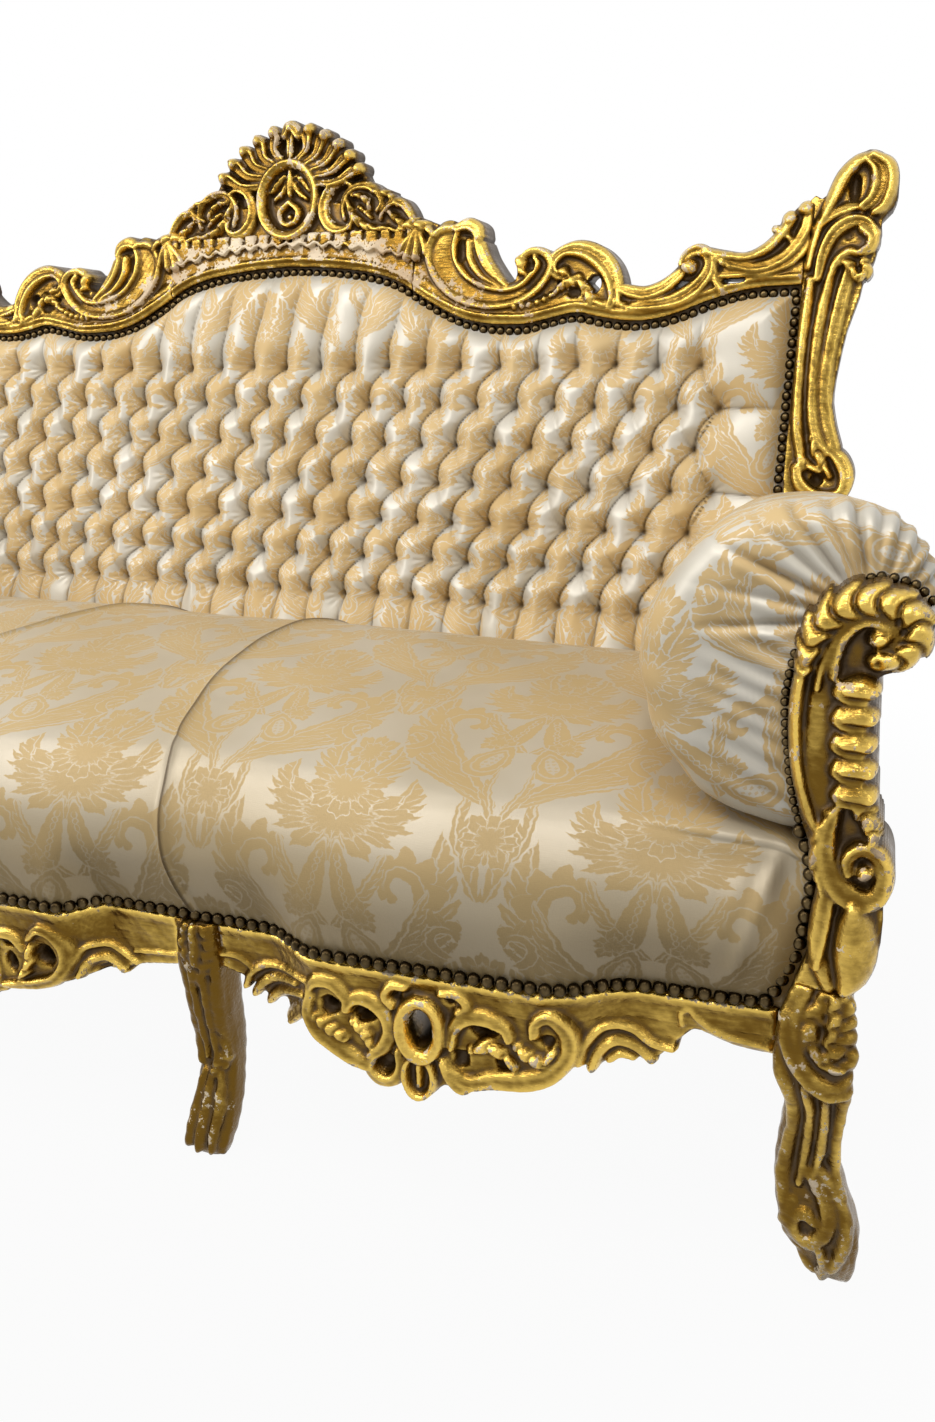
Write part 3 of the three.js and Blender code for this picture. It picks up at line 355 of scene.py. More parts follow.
def damask():
    """Silk damask: a silvery satin ground with beige foliage, mirrored about each width's middle."""
    sheen = {"Sheen_Weight": 0.1, "Sheen_Roughness": 0.4, "Coat_Roughness": 0.4}
    finish = Finish("silk_damask", Specular_IOR_Level=0.4, **sheen)
    cloth = finish.attribute("cloth", "Vector")
    crease = finish.attribute("crease")
    soil_and_shade = finish.attribute("soil_and_shade")
    across, along, _ = finish.parts(cloth)
    figure, veins = Foliage(finish, across, along).drawn()
    grime = finish.noise(cloth, 5.0, 3.0).ramp(0.3, 0.7)
    slub = finish.noise(finish.stretch(cloth, (90, 1300, 1)), 1.0, 2.0)
    warp = finish.noise(finish.stretch(cloth, (1500, 60, 1)), 1.0, 2.0)
    ground = finish.blend(grime, SATIN_DULL, SATIN_PALE)
    beige = finish.blend(grime, BEIGE_DULL, BEIGE_PALE)
    shown = figure * (1 - veins * 0.9)
    woven = finish.blend(shown, ground, beige)
    # Painted shade: the seat is browned, and darker low on its front; creases, seams, buttons and pad edges
    # take the fold shade.
    soiled_and_shaded = finish.blend(soil_and_shade * 0.9, woven, SEAT_SOIL_AND_SHADE)
    finish.feed(
        Base_Color=finish.blend(crease * 0.86, soiled_and_shaded, FOLD_SHADE),
        Coat_Weight=(1 - shown) * (1 - crease) * 0.4,
        Metallic=(0.22 - shown * 0.17) * (1 - crease),
        Roughness=0.46 + shown * 0.16 + (slub - 0.5) * 0.16 + crease * 0.3,
    )
    finish.bump(slub * 0.5 + warp * 0.4, 0.0004, 0.5)
    return finish.material


class Foliage:
    """A damask design of ogee tiles, each with an acanthus spray mirrored about its middle."""

    WIDTH, HEIGHT = 0.32, 0.5
    EDGE = 0.0005
    GAP = 0.0013

    def __init__(self, finish, across, along):
        self.finish = finish
        plain = abs((across / self.WIDTH).fraction() - 0.5) * self.WIDTH
        level = (along / self.HEIGHT).fraction() * self.HEIGHT
        rough_edge = self.rough(plain, level, 45.0) * 0.02
        turn = level * (2 * math.pi / self.HEIGHT) - 0.02 * math.pi
        swell = turn.sine() * 0.066 + self.WIDTH / 4 + rough_edge
        own = (swell - plain).ramp(-0.00001, 0.00001)
        self.border = abs(plain - swell).ramp(0.0012, 0.0022)
        side = own * plain + (1 - own) * (self.WIDTH / 2 - plain)
        other = (along / self.HEIGHT + 0.5).fraction() * self.HEIGHT
        rise = own * level + (1 - own) * other
        rise = ((rise / self.HEIGHT + 0.24).fraction() - 0.24) * self.HEIGHT
        self.a = side + self.rough(side, rise, 85.0) * 0.008
        self.b = rise + self.rough(rise, side, 75.0) * 0.008
        self.items = []

    def rough(self, x, y, scale):
        spot = self.finish.node("ShaderNodeCombineXYZ", values={"X": x, "Y": y, "Z": 0.0})
        return self.finish.noise(spot, scale, 2.0, 0.6) - 0.5

    def polar(self, x, y, wide=1.0, tall=1.0, turn=0.0):
        """Distance and share of a turn about a point."""
        da, db = (self.a - x) / wide, (self.b - y) / tall
        angle = db.math("ARCTAN2", da) / (2 * math.pi)
        return (da * da + db * db) ** 0.5, (angle - turn / 360 + 2).fraction()

    def fingered(self, phase):
        tooth = phase.fraction()
        return tooth ** 0.6 * (1 - tooth.ramp(0.86, 1.0))

    def sweep(self, start, end, bow, skew, width, fingers, side, slant):
        """A leaf rising along a bowed line, cut into fingers on one side."""
        (x0, y0), (x1, y1) = start, end
        share = (self.b - y0) / (y1 - y0)
        along = share.most(0.0).least(1.0)
        middle = along * (x1 - x0) + x0 + (along ** skew * math.pi).sine() * bow
        slope = 1 / math.hypot(1, (x1 - x0) / (y1 - y0))
        off = (self.a - middle) * (slope * side)
        phase = along * fingers - off * slant
        fat = (along ** 0.55 * math.pi).sine().most(0.0) ** 0.75 * width
        outer = fat * (self.fingered(phase) * 0.75 + 0.35)
        ends = (abs(share - 0.5) - 0.5) * abs(y1 - y0)
        distance = (off - outer).most(-off - fat * 0.38).most(ends)
        rib = 1 - abs(off + fat * 0.04).ramp(0.0005, 0.0014)
        branch = 1 - abs(phase.fraction() - 0.62).ramp(0.02, 0.07)
        branch = branch * off.ramp(0.001, 0.004) * (1 - (off / (fat + 0.0005)).ramp(0.55, 0.75))
        self.items.append((distance, rib.most(branch)))

    def curl(self, x, y, turn, sense, size, shrink, thick, fingers, extent=0.8):
        """A leaf curling in about a centre, cut into fingers on its outer side."""
        radius, angle = self.polar(x, y, 1.0, sense, turn)
        share = angle / extent
        along = share.least(1.0)
        off = radius - (1 - along * shrink) * size
        phase = along * fingers + off * (0.35 / thick)
        taper = (1 - along) ** 0.5 * along.ramp(-0.15, 0.15) * thick
        outer = taper * (self.fingered(phase) * 0.7 + 0.35)
        distance = (off - outer).most(-off - taper * 0.45).most((share - 1) * 0.05)
        rib = 1 - abs(off).ramp(0.0005, 0.0013)
        self.items.append((distance, rib * (1 - along.ramp(0.6, 0.8))))

    def pod(self, x, y, tilt, half_width, half_height, seeded):
        """A tilted fruit with a seeded core or a chain down its middle."""
        c, s = math.cos(math.radians(tilt)), math.sin(math.radians(tilt))
        da = (self.a - x) * c - (self.b - y) * s
        db = (self.a - x) * s + (self.b - y) * c
        narrow = (1 - db * (0.35 / half_height)) * half_width
        size = ((da / narrow) ** 2 + (db / half_height) ** 2) ** 0.5
        if seeded:
            inner = ((da / (half_width * 0.36)) ** 2 + (db / (half_height * 0.6)) ** 2) ** 0.5
            cells = abs((db / 0.007).fraction() - 0.5) + abs((da / 0.006).fraction() - 0.5)
            rim = 1 - abs(size - 0.72).ramp(0.02, 0.06)
            veins = (1 - inner.ramp(0.85, 1.0)) * cells.ramp(0.3, 0.4).most(0.35) + rim * 0.8
        else:
            chain = abs((db * (math.pi / 0.008)).sine()) * 0.0024 + 0.0004
            veins = 1 - abs(abs(da) - chain).ramp(0.0004, 0.001)
            veins = veins * (1 - abs(db / half_height).ramp(0.7, 0.8))
        self.items.append(((size - 1) * half_width, veins))

    def crown(self, x, y, wide, tall, petals, turn):
        """A spread of jagged petals about a point."""
        radius, angle = self.polar(x, y, wide, tall, turn)
        phase = angle * petals
        tooth = 1 - abs(phase.fraction() * 2 - 1)
        small = 1 - abs((phase * 3).fraction() * 2 - 1)
        lean = (angle * (6 * math.pi)).sine() * 0.08
        edge = tooth ** 0.5 * 0.42 + 0.54 + small * 0.09 + lean
        between = (1 - tooth.ramp(0.03, 0.12)) * radius.ramp(0.35, 0.5)
        middle = tooth.ramp(0.93, 0.98) * radius.ramp(0.3, 0.4) * (1 - radius.ramp(0.75, 0.85))
        ring = 1 - abs(radius - edge * 0.55).ramp(0.012, 0.035)
        veins = between.most(middle * 0.9).most(ring * 0.8)
        self.items.append(((radius - edge) * min(wide, tall), veins))

    def drawn(self):
        """The design's masks: its leaves, laid over one another, and their veins."""
        self.sweep((0.004, -0.105), (0.034, 0.012), 0.012, 1.0, 0.020, 5, -1, 55)
        self.sweep((0.150, -0.02), (0.112, 0.115), 0.02, 1.0, 0.022, 6, 1, 55)
        self.sweep((0.012, 0.0), (0.120, 0.235), 0.044, 0.7, 0.040, 8, 1, 45)
        self.sweep((0.0, 0.225), (0.030, 0.345), 0.016, 0.9, 0.026, 6, 1, 45)
        self.sweep((0.040, 0.19), (0.072, 0.285), 0.012, 0.9, 0.024, 6, 1, 45)
        self.curl(0.128, 0.098, 80, -1, 0.030, 0.7, 0.026, 6)
        self.curl(0.079, 0.147, 300, 1, 0.032, 0.75, 0.028, 8, 0.92)
        self.sweep((0.006, -0.01), (0.109, 0.150), 0.012, 0.8, 0.026, 7, 1, 45)
        self.crown(0.0, 0.205, 0.088, 0.040, 13, 8)
        self.crown(0.0, 0.238, 0.050, 0.032, 9, 10)
        self.sweep((0.004, 0.09), (0.062, 0.178), 0.004, 1, 0.016, 4, 1, 60)
        self.pod(0.017, 0.140, -14, 0.0135, 0.040, False)
        self.crown(0.036, 0.108, 0.020, 0.020, 5, 60)
        self.pod(0.031, 0.068, -22, 0.020, 0.034, True)
        self.sweep((0.0, -0.03), (0.016, 0.055), 0.008, 1, 0.010, 3, 1, 60)
        self.crown(0.0, -0.045, 0.030, 0.030, 7, 20)
        self.crown(0.0, 0.300, 0.026, 0.040, 7, 14)
        figure, veins = 0.0, 0.0
        for distance, lines in self.items:
            whole = distance.ramp(self.EDGE, -self.EDGE)
            clear = (distance - self.GAP).ramp(-self.EDGE, self.EDGE)
            figure = whole.most(clear * figure)
            veins = (whole * lines).most(clear * veins)
        return figure * self.border, veins


def brass():
    """Domed nails of darkened brass, brighter on top, partly rubbed and partly a painted highlight."""
    finish = Finish("aged_brass", Metallic=1.0, Specular_IOR_Level=0.5)
    crown = finish.attribute("relief")
    tarnish = finish.noise(finish.place(), 160.0, 3.0)
    # Painted highlight: the crown of each dome is lighter, besides its rubbing.
    tone = (crown * 0.6 + tarnish * 0.7 - 0.25).ramp(0.2, 1.0)
    finish.feed(
        Base_Color=finish.blend(tone, (0.03, 0.02, 0.009), (0.14, 0.098, 0.044)),
        Roughness=0.2 + tarnish * 0.16,
    )
    finish.bump(tarnish, 0.0003, 0.4)
    return finish.material


def bare_wood():
    """Sawn beech of the hidden frame."""
    finish = Finish("sawn_beech", Specular_IOR_Level=0.3)
    grain = finish.noise(finish.place((6, 160, 160)), 1.0, 5.0)
    pores = finish.noise(finish.place((60, 900, 900)), 1.0, 2.0)
    finish.feed(
        Base_Color=finish.blend(grain.ramp(0.3, 0.7), (0.30, 0.18, 0.09), (0.46, 0.31, 0.17)),
        Roughness=0.62 + pores * 0.2,
    )
    finish.bump(grain + pores * 0.5, 0.0006, 0.5)
    return finish.material


def weave(name, dark, light, thread):
    """A plain weave of coarse threads."""
    finish = Finish(name, Specular_IOR_Level=0.2)
    x, y, z = finish.parts(finish.place())
    warp = ((x + y * 0.3) * (math.pi / thread)).sine()
    weft = ((y + z) * (math.pi / thread)).sine()
    lift = abs(warp) * 0.5 + abs(weft) * 0.5
    age = finish.noise(finish.place(), 14.0, 4.0)
    finish.feed(
        Base_Color=finish.blend((lift * 0.6 + age * 0.6 - 0.1).ramp(0.1, 0.9), dark, light),
        Roughness=0.8 + age * 0.15,
    )
    finish.bump(lift, 0.0006, 0.6)
    return finish.material


GILT = gilding()
SILK = damask()
BRASS = brass()
BEECH = bare_wood()
JUTE = weave("jute_webbing", (0.20, 0.13, 0.07), (0.42, 0.31, 0.18), 0.003)
WADDING = weave("cotton_wadding", (0.62, 0.58, 0.50), (0.80, 0.77, 0.70), 0.005)
DUST = weave("dust_cloth", (0.16, 0.13, 0.10), (0.30, 0.25, 0.19), 0.0016)


# Pieces.
def piece(name, points, faces, material, replaced, slot, attributes=None, mirrored=False):
    """Adds a mesh from points in millimetres and lets it stand for CAD nodes."""
    points = np.array(points, float).reshape(-1, 3)
    faces = [list(face) for face in faces]
    if mirrored:
        points = points * (-1, 1, 1)
        faces = [face[::-1] for face in faces]
    mesh = bpy.data.meshes.new(name)
    mesh.from_pydata(((points + (0, forward, 0)) * MM).tolist(), [], faces)
    for key, values in (attributes or {}).items():
        values = np.asarray(values, np.float32)
        if values.ndim == 2:
            layer = mesh.attributes.new(key, "FLOAT_VECTOR", "POINT")
            layer.data.foreach_set("vector", values.ravel())
        else:
            layer = mesh.attributes.new(key, "FLOAT", "POINT")
            layer.data.foreach_set("value", values.ravel())
    mesh.shade_smooth()
    mesh.materials.append(material)
    shape = bpy.data.objects.new(name, mesh)
    bpy.context.scene.collection.objects.link(shape)
    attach(shape, "root")
    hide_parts(*replaced)
    return shape


def both_sides(name, points, faces, material, replaced, slot, attributes=None, done=None):
    """The right piece and its mirror image."""
    for side, mirrored in SIDES:
        nodes = [f"{node}_{side}" for node in replaced]
        shape = piece(f"{name}_{side}", points, faces, material, nodes, slot, attributes, mirrored)
        if done:
            done(shape)


def grid_faces(rows, columns, around=False):
    """Quads of a grid whose points run along each row first."""
    last = columns if around else columns - 1
    i, j = np.meshgrid(np.arange(rows - 1), np.arange(last), indexing="ij")
    here = (i * columns + j).ravel()
    over = (i * columns + (j + 1) % columns).ravel()
    return np.stack([here, here + columns, over + columns, over], axis=1)


def rim_of(shape):
    """The outer points of a grid, in turn."""
    index = np.arange(shape[0] * shape[1]).reshape(shape)
    return np.concatenate([index[:-1, 0], index[-1, :-1], index[:0:-1, -1], index[0, :0:-1]])


def slab(front, back, turned):
    """Points and faces of a closed sheet between two grids of points."""
    rows, columns = front.shape[:2]
    count = rows * columns
    rim = rim_of((rows, columns))
    after = np.roll(rim, -1)
    walls = np.stack([after, rim, rim + count, after + count], axis=1)
    face = grid_faces(rows, columns)
    faces = np.vstack([face, face[:, ::-1] + count, walls])
    points = np.vstack([front.reshape(-1, 3), back.reshape(-1, 3)])
    return points, faces[:, ::-1] if turned else faces


def blurred(field, times):
    """A field of the grid, evened out."""
    for _ in range(times):
        wide = np.pad(field, 1, mode="edge")
        field = (wide[:-2, 1:-1] + wide[2:, 1:-1] + 2 * field) / 4
        wide = np.pad(field, 1, mode="edge")
        field = (wide[1:-1, :-2] + wide[1:-1, 2:] + 2 * field) / 4
    return field


FULLNESS = 1.22
FINGER_NOTCH = 0.3
FINGER_SLANT = 0.8
BODY_ROUND = 0.55
BODY_LEAN = 0.28
CHANNEL_WIDTH = 0.42
ARRIS = 1.0
RING_STEPS = 17
OPEN_GROUND = -6.0
UNTOUCHED = 9.0
RIM_SHADE = 0.75
UNDER_SHADE = 0.6
SMALLEST = 1e-9


class Carving:
    """A board carved in relief over a grid of x and z, open where `edge` is negative."""

    def __init__(self, left, right, bottom, top):
        self.x = np.arange(left, right + GRID, GRID)
        self.z = np.arange(bottom, top + GRID, GRID)
        self.X, self.Z = np.meshgrid(self.x, self.z, indexing="ij")
        self.height = np.zeros(self.X.shape)
        self.edge = np.full(self.X.shape, -FAR)

    def around(self, left, right, bottom, top):
        """The part of the grid that covers a box."""
        i = np.searchsorted(self.x, (left, right))
        j = np.searchsorted(self.z, (bottom, top))
        return np.s_[max(0, i[0] - 1):i[1] + 1, max(0, j[0] - 1):j[1] + 1]

    def distance(self, outline):
        """Distance inside a closed outline, negative outside it."""
        X, Z = self.X, self.Z
        nearest = np.full(X.shape, FAR)
        inside = np.zeros(X.shape, bool)
        for (ax, az), (bx, bz) in zip(outline, np.roll(outline, -1, axis=0)):
            dx, dz = bx - ax, bz - az
            t = np.clip(((X - ax) * dx + (Z - az) * dz) / max(dx * dx + dz * dz, SMALLEST), 0, 1)
            nearest = np.minimum(nearest, np.hypot(X - ax - t * dx, Z - az - t * dz))
            if az != bz:
                crossing = ax + (Z - az) * dx / dz
                inside ^= ((az > Z) != (bz > Z)) & (X < crossing)
        return np.where(inside, nearest, -nearest)

    def board(self, outline, height=0.0):
        edge = self.distance(np.array(outline, float))
        self.height = np.where(edge > 0, np.maximum(self.height, height), self.height)
        self.edge = np.maximum(self.edge, edge)

    def raise_to(self, height, where):
        self.height = np.where(where, np.maximum(self.height, height), self.height)

    def stroke(self, points, crown, channel=0.0, lobes=0):
        """A rounded ridge along points of x, z and half width; lobes cut it into leaf fingers."""
        path = through(points)
        way = walked(path[:, :2])
        reach = path[:, 2].max() + GRID
        low = path[:, :2].min(axis=0) - reach
        high = path[:, :2].max(axis=0) + reach
        view = self.around(low[0], high[0], low[1], high[1])
        X, Z = self.X[view], self.Z[view]
        if not X.size:
            return
        share = np.full(X.shape, UNTOUCHED)
        hand = np.zeros(X.shape)
        along = np.zeros(X.shape)
        half = np.ones(X.shape)
        for (ax, az, ar), (bx, bz, br), start, step in zip(path, path[1:], way, np.diff(way)):
            dx, dz = bx - ax, bz - az
            t = np.clip(((X - ax) * dx + (Z - az) * dz) / max(step * step, SMALLEST), 0, 1)
            radius = ar + (br - ar) * t
            now = np.hypot(X - ax - t * dx, Z - az - t * dz) / radius
            closer = now < share
            share = np.where(closer, now, share)
            along = np.where(closer, (start + step * t) / way[-1], along)
            hand = np.where(closer, np.sign((X - ax) * dz - (Z - az) * dx), hand)
            half = np.where(closer, radius, half)
        fall = np.ones(X.shape)
        if lobes:
            finger = np.abs(np.sin(math.pi * (lobes * along - FINGER_SLANT * share * share)))
            share = share / (1 - FINGER_NOTCH * (1 - finger))
            fall = 1 - 0.55 * (1 - finger) ** 3
        body = np.clip(1 - share**2, 0, 1) ** BODY_ROUND * (1 + BODY_LEAN * hand * share)
        trough = 1 - channel * np.exp(-((share / CHANNEL_WIDTH) ** 2))
        raised = np.maximum(self.height[view], crown * body * trough * fall)
        self.height[view] = np.where(share < 1, raised, self.height[view])
        self.edge[view] = np.maximum(self.edge[view], (1 - share) * half)

    def strokes(self, table, side=1, fullness=FULLNESS, sunk=0.0):
        """Cuts a table of strokes: crown, channel, fingers, then points of x, z and half width."""
        for crown, channel, fingers, *points in table:
            placed = [(side * x, z, half * fullness) for x, z, half in points]
            self.stroke(placed, crown - sunk, channel, fingers)

    def boss(self, x, z, radius, crown):
        self.stroke([(x, z - 0.1, radius), (x, z + 0.1, radius)], crown)

    def ellipse(self, x, z, half_width, half_height):
        """Distance inside an ellipse, nearly true at its edge."""
        share = np.hypot((self.X - x) / half_width, (self.Z - z) / half_height)
        return (1 - share) * min(half_width, half_height)

    def pierce(self, x, z, half_width, half_height):
        self.edge = np.minimum(self.edge, -self.ellipse(x, z, half_width, half_height))

    def hollow(self, x, z, half_width, half_height, depth):
        """A dished hollow that sinks below the ground."""
        share = np.hypot((self.X - x) / half_width, (self.Z - z) / half_height)
        sunk = -depth * np.sqrt(np.clip(1 - share**2, 0, 1))
        self.height = np.where(share < 1, sunk, self.height)

    def ring(self, x, z, half_width, half_height, radius, crown, channel=0.0):
        """A round moulding bent to an ellipse."""
        turn = np.linspace(0, 2 * math.pi, RING_STEPS)
        path = [x + half_width * np.cos(turn), z + half_height * np.sin(turn), np.full(RING_STEPS, radius)]
        self.stroke(np.stack(path, axis=1), crown, channel)

    def finished(self, seed):
        """Settles the surface: softened creases, hand unevenness, and how hollow each place is."""
        self.height = mix(self.height, blurred(self.height, 1), 0.8)
        self.height += 0.7 * wobble(self.X, self.Z, seed, 13.0) + 0.4 * wobble(self.Z, self.X, seed, 5.0)
        shape = np.where(self.edge > 0, self.height, OPEN_GROUND)
        narrow = (self.height - blurred(shape, 4)) / 4.0
        wide = (self.height - blurred(shape, 40)) / 8.0
        self.relief = np.clip(0.75 * narrow + 0.35 * wide, -1, 1)
        return self

    def mesh(self, lay, depth):
        """Points, faces and hollowness of the carved board."""
        slope_x, slope_z = np.gradient(np.clip(self.edge, -20, 20), GRID)
        steep = np.maximum(slope_x**2 + slope_z**2, 0.05)
        near = self.edge > -0.6 * GRID
        cells = near[:-1, :-1] & near[1:, :-1] & near[1:, 1:] & near[:-1, 1:]
        total = self.edge[:-1, :-1] + self.edge[1:, :-1] + self.edge[1:, 1:] + self.edge[:-1, 1:]
        cells &= total > 0
        framed = np.pad(cells, 1)
        touching = framed[:-1, :-1].astype(int) + framed[1:, :-1] + framed[1:, 1:] + framed[:-1, 1:]
        rim = (touching > 0) & (touching < 4)
        pull = np.where(rim, np.clip(-self.edge, -0.9 * GRID, 0.9 * GRID), 0) / steep
        x = self.X + np.clip(pull * slope_x, -0.8 * GRID, 0.8 * GRID)
        z = self.Z + np.clip(pull * slope_z, -0.8 * GRID, 0.8 * GRID)
        used = touching > 0
        number = np.full(used.shape, -1)
        number[used] = np.arange(used.sum())
        count = int(used.sum())
        a, b = number[:-1, :-1], number[1:, :-1]
        c, d = number[1:, 1:], number[:-1, 1:]
        front = np.stack([a[cells], b[cells], c[cells], d[cells]], axis=1)
        faces = [front, front[:, ::-1] + count]
        middle = framed[1:-1, 1:-1]
        sides = (
            (framed[:-2, 1:-1], a, d), (framed[2:, 1:-1], c, b),
            (framed[1:-1, :-2], b, a), (framed[1:-1, 2:], d, c),
        )
        for beyond, first, second in sides:
            wall = middle & ~beyond
            p, q = first[wall], second[wall]
            faces.append(np.stack([p, q, q + count, p + count], axis=1))
        height = np.where(rim, np.minimum(self.height, ARRIS), self.height)
        top = lay(x[used], z[used], height[used])
        under = lay(x[used], z[used], np.full(count, -depth))
        # Painted shade: the board's rim, walls and back are darkened in the relief that the gilding reads.
        worked = self.relief - RIM_SHADE * rim
        relief = np.concatenate([worked[used], np.full(count, -UNDER_SHADE)])
        return np.vstack([top, under]), np.vstack(faces), relief

    def sample(self, field, x, z):
        """Values of a field of the grid at any points."""
        u = np.clip((x - self.x[0]) / GRID, 0, len(self.x) - 1.001)
        v = np.clip((z - self.z[0]) / GRID, 0, len(self.z) - 1.001)
        i, j = u.astype(int), v.astype(int)
        s, t = u - i, v - j
        low = mix(field[i, j], field[i + 1, j], s)
        return mix(low, mix(field[i, j + 1], field[i + 1, j + 1], s), t)


def gilt(name, carving, lay, depth, node, wear, age, pair=False, wear_at=None):
    """A gilded board: how worn and how old its leaf is, and whether it has a mirror image."""
    points, faces, relief = carving.mesh(lay, depth)
    worn = np.full(len(points), wear)
    if wear_at is not None:
        worn = worn + wear_at(points)
    attributes = {"relief": relief, "wear": worn, "age": np.full(len(points), age)}
    make = both_sides if pair else piece
    make(name, points, faces, GILT, [node], "gilding", attributes)


# Crest rail.
CREST_OUTLINE = [
    (228, 1122), (250, 1120), (270, 1112), (295, 1112), (316, 1116), (332, 1110), (342, 1090), (356, 1068),
    (371, 1040), (388, 1024), (400, 1028), (404, 1048), (414, 1062), (428, 1066), (442, 1060), (452, 1046),
    (462, 1058), (478, 1068), (496, 1073), (516, 1069), (537, 1054), (555, 1030), (572, 1017), (596, 1012),
    (619, 1014), (638, 1027), (650, 1038), (662, 1054), (681, 1061), (713, 1056), (743, 1053), (769, 1064),
    (787, 1083), (792, 1098), (803, 1102), (814, 1112), (829, 1117),
]
CREST_STROKES = [
    # Broad first scroll: its floor, its two lips, the rolled head and the curl at its foot.
    (6, 0.0, 0, (286, 1094, 20), (277, 1062, 21), (298, 1030, 20), (332, 1008, 15), (375, 1002, 11),
     (412, 1008, 10)),
    (14, 0.2, 0, (300, 1106, 5), (272, 1102, 6), (257, 1084, 6), (256, 1062, 6), (268, 1036, 6),
     (292, 1012, 6), (325, 996, 6), (365, 990, 6), (405, 995, 6), (436, 1012, 6), (454, 1036, 6),
     (455, 1052, 6), (443, 1064, 6), (424, 1066, 6), (410, 1058, 5)),
    (13, 0.0, 0, (303, 1100, 4), (298, 1080, 5), (304, 1056, 5), (322, 1034, 5), (348, 1020, 5),
     (382, 1013, 5), (408, 1018, 5), (426, 1034, 5), (435, 1048, 5), (430, 1057, 4)),
    (18, 0.3, 0, (302, 1106, 7), (318, 1110, 9), (332, 1104, 9), (338, 1093, 7)),
    (13, 0.0, 0, (324, 1084, 7), (327, 1060, 7), (345, 1036, 6), (378, 1017, 3)),
    (14, 0.0, 0, (336, 1088, 7), (344, 1064, 7), (360, 1041, 6), (386, 1019, 3)),
    (12, 0.0, 0, (344, 1080, 5), (354, 1060, 5), (370, 1038, 5), (390, 1018, 3)),
    (17, 0.0, 0, (408, 1054, 8), (411, 1050, 9)),
    (14, 0.0, 0, (410, 1040, 6), (416, 1036, 4)),
    # Second scroll, with its eye and the flower under it.
    (16, 0.5, 0, (484, 1031, 4), (470, 1030, 6), (460, 1040, 7), (462, 1055, 8), (478, 1066, 8),
     (500, 1067, 11), (524, 1058, 13), (544, 1041, 13), (556, 1020, 12), (560, 1000, 10), (553, 984, 5)),
    (18, 0.0, 0, (476, 1037, 6), (479, 1036, 7)),
    (14, 0.0, 3, (492, 1022, 8), (478, 1016, 7), (466, 1004, 4)),
    (13, 0.0, 3, (500, 1026, 7), (512, 1012, 8), (524, 996, 8), (546, 986, 4)),
    (15, 0.0, 0, (492, 1024, 6), (494, 1021, 7)),
    (11, 0.0, 3, (566, 988, 6), (552, 990, 6), (540, 984, 3)),
    (11, 0.0, 3, (566, 988, 6), (582, 982, 6), (594, 976, 3)),
    (12, 0.0, 0, (565, 988, 6), (562, 1004, 3)),
    # Run of moulding to the third scroll and its ball.
    (13, 0.4, 0, (562, 1012, 6), (580, 1005, 8), (604, 1001, 9), (628, 1008, 9), (648, 1022, 8),
     (660, 1034, 6)),
    (16, 0.45, 0, (588, 984, 6), (620, 986, 8), (648, 991, 10), (671, 1002, 11), (689, 1020, 10),
     (695, 1038, 8), (690, 1052, 8), (677, 1058, 8), (662, 1052, 7), (656, 1041, 6)),
    (20, 0.0, 0, (666, 1037, 10), (668, 1036, 10)),
    # Last scroll, rising to the stile.
    (14, 0.0, 0, (688, 1056, 6), (715, 1050, 6), (745, 1046, 6), (770, 1055, 7), (789, 1072, 7),
     (801, 1090, 8)),
    (15, 0.3, 0, (700, 1050, 5), (730, 1038, 7), (760, 1032, 8), (790, 1040, 8), (811, 1058, 8),
     (823, 1080, 8), (827, 1100, 8)),
    (13, 0.3, 0, (716, 1024, 6), (742, 1026, 7), (772, 1026, 7), (800, 1034, 7), (820, 1050, 7),
     (832, 1072, 6)),
    (14, 0.0, 3, (700, 1052, 6), (712, 1042, 7), (727, 1032, 4)),
    (12, 0.0, 0, (703, 1040, 5), (706, 1018, 7), (716, 1004, 6)),
    (18, 0.0, 0, (800, 1094, 8), (802, 1095, 9)),
    (18, 0.0, 0, (821, 1107, 8), (823, 1107, 9)),
    (12, 0.0, 3, (783, 1082, 5), (796, 1078, 7), (806, 1066, 4)),
]
CREST_BEADS = [(402, 987, 6), (414, 988, 6), (426, 990, 6), (438, 993, 6), (449, 997, 6), (459, 1002, 5)]
TASSEL_STROKES = [
    (15, 0.0, 0, (230, 1104, 5), (216, 1088, 6), (206, 1074, 6)),
    (16, 0.0, 0, (232, 1104, 5), (224, 1084, 7), (219, 1066, 8)),
    (16, 0.0, 0, (236, 1104, 5), (236, 1084, 7), (234, 1066, 7)),
    (15, 0.0, 0, (240, 1104, 5), (247, 1086, 6), (250, 1072, 5)),
    (18, 0.0, 3, (206, 1112, 7), (224, 1116, 9), (248, 1110, 8), (262, 1098, 4)),
]


CREST_PIERCED = ((525, 1017, 11, 13), (666, 1010, 20, 8), (729, 1016, 18, 4), (473, 1018, 6, 7))
CREST_HOLLOWS = ((309, 1072, 7, 17, 7), (496, 1006, 11, 8, 6), (425, 1044, 7, 6, 3))
BAND_RISE = 13.0
BAND_TOP = 34.0
PANEL_STEPS = 60


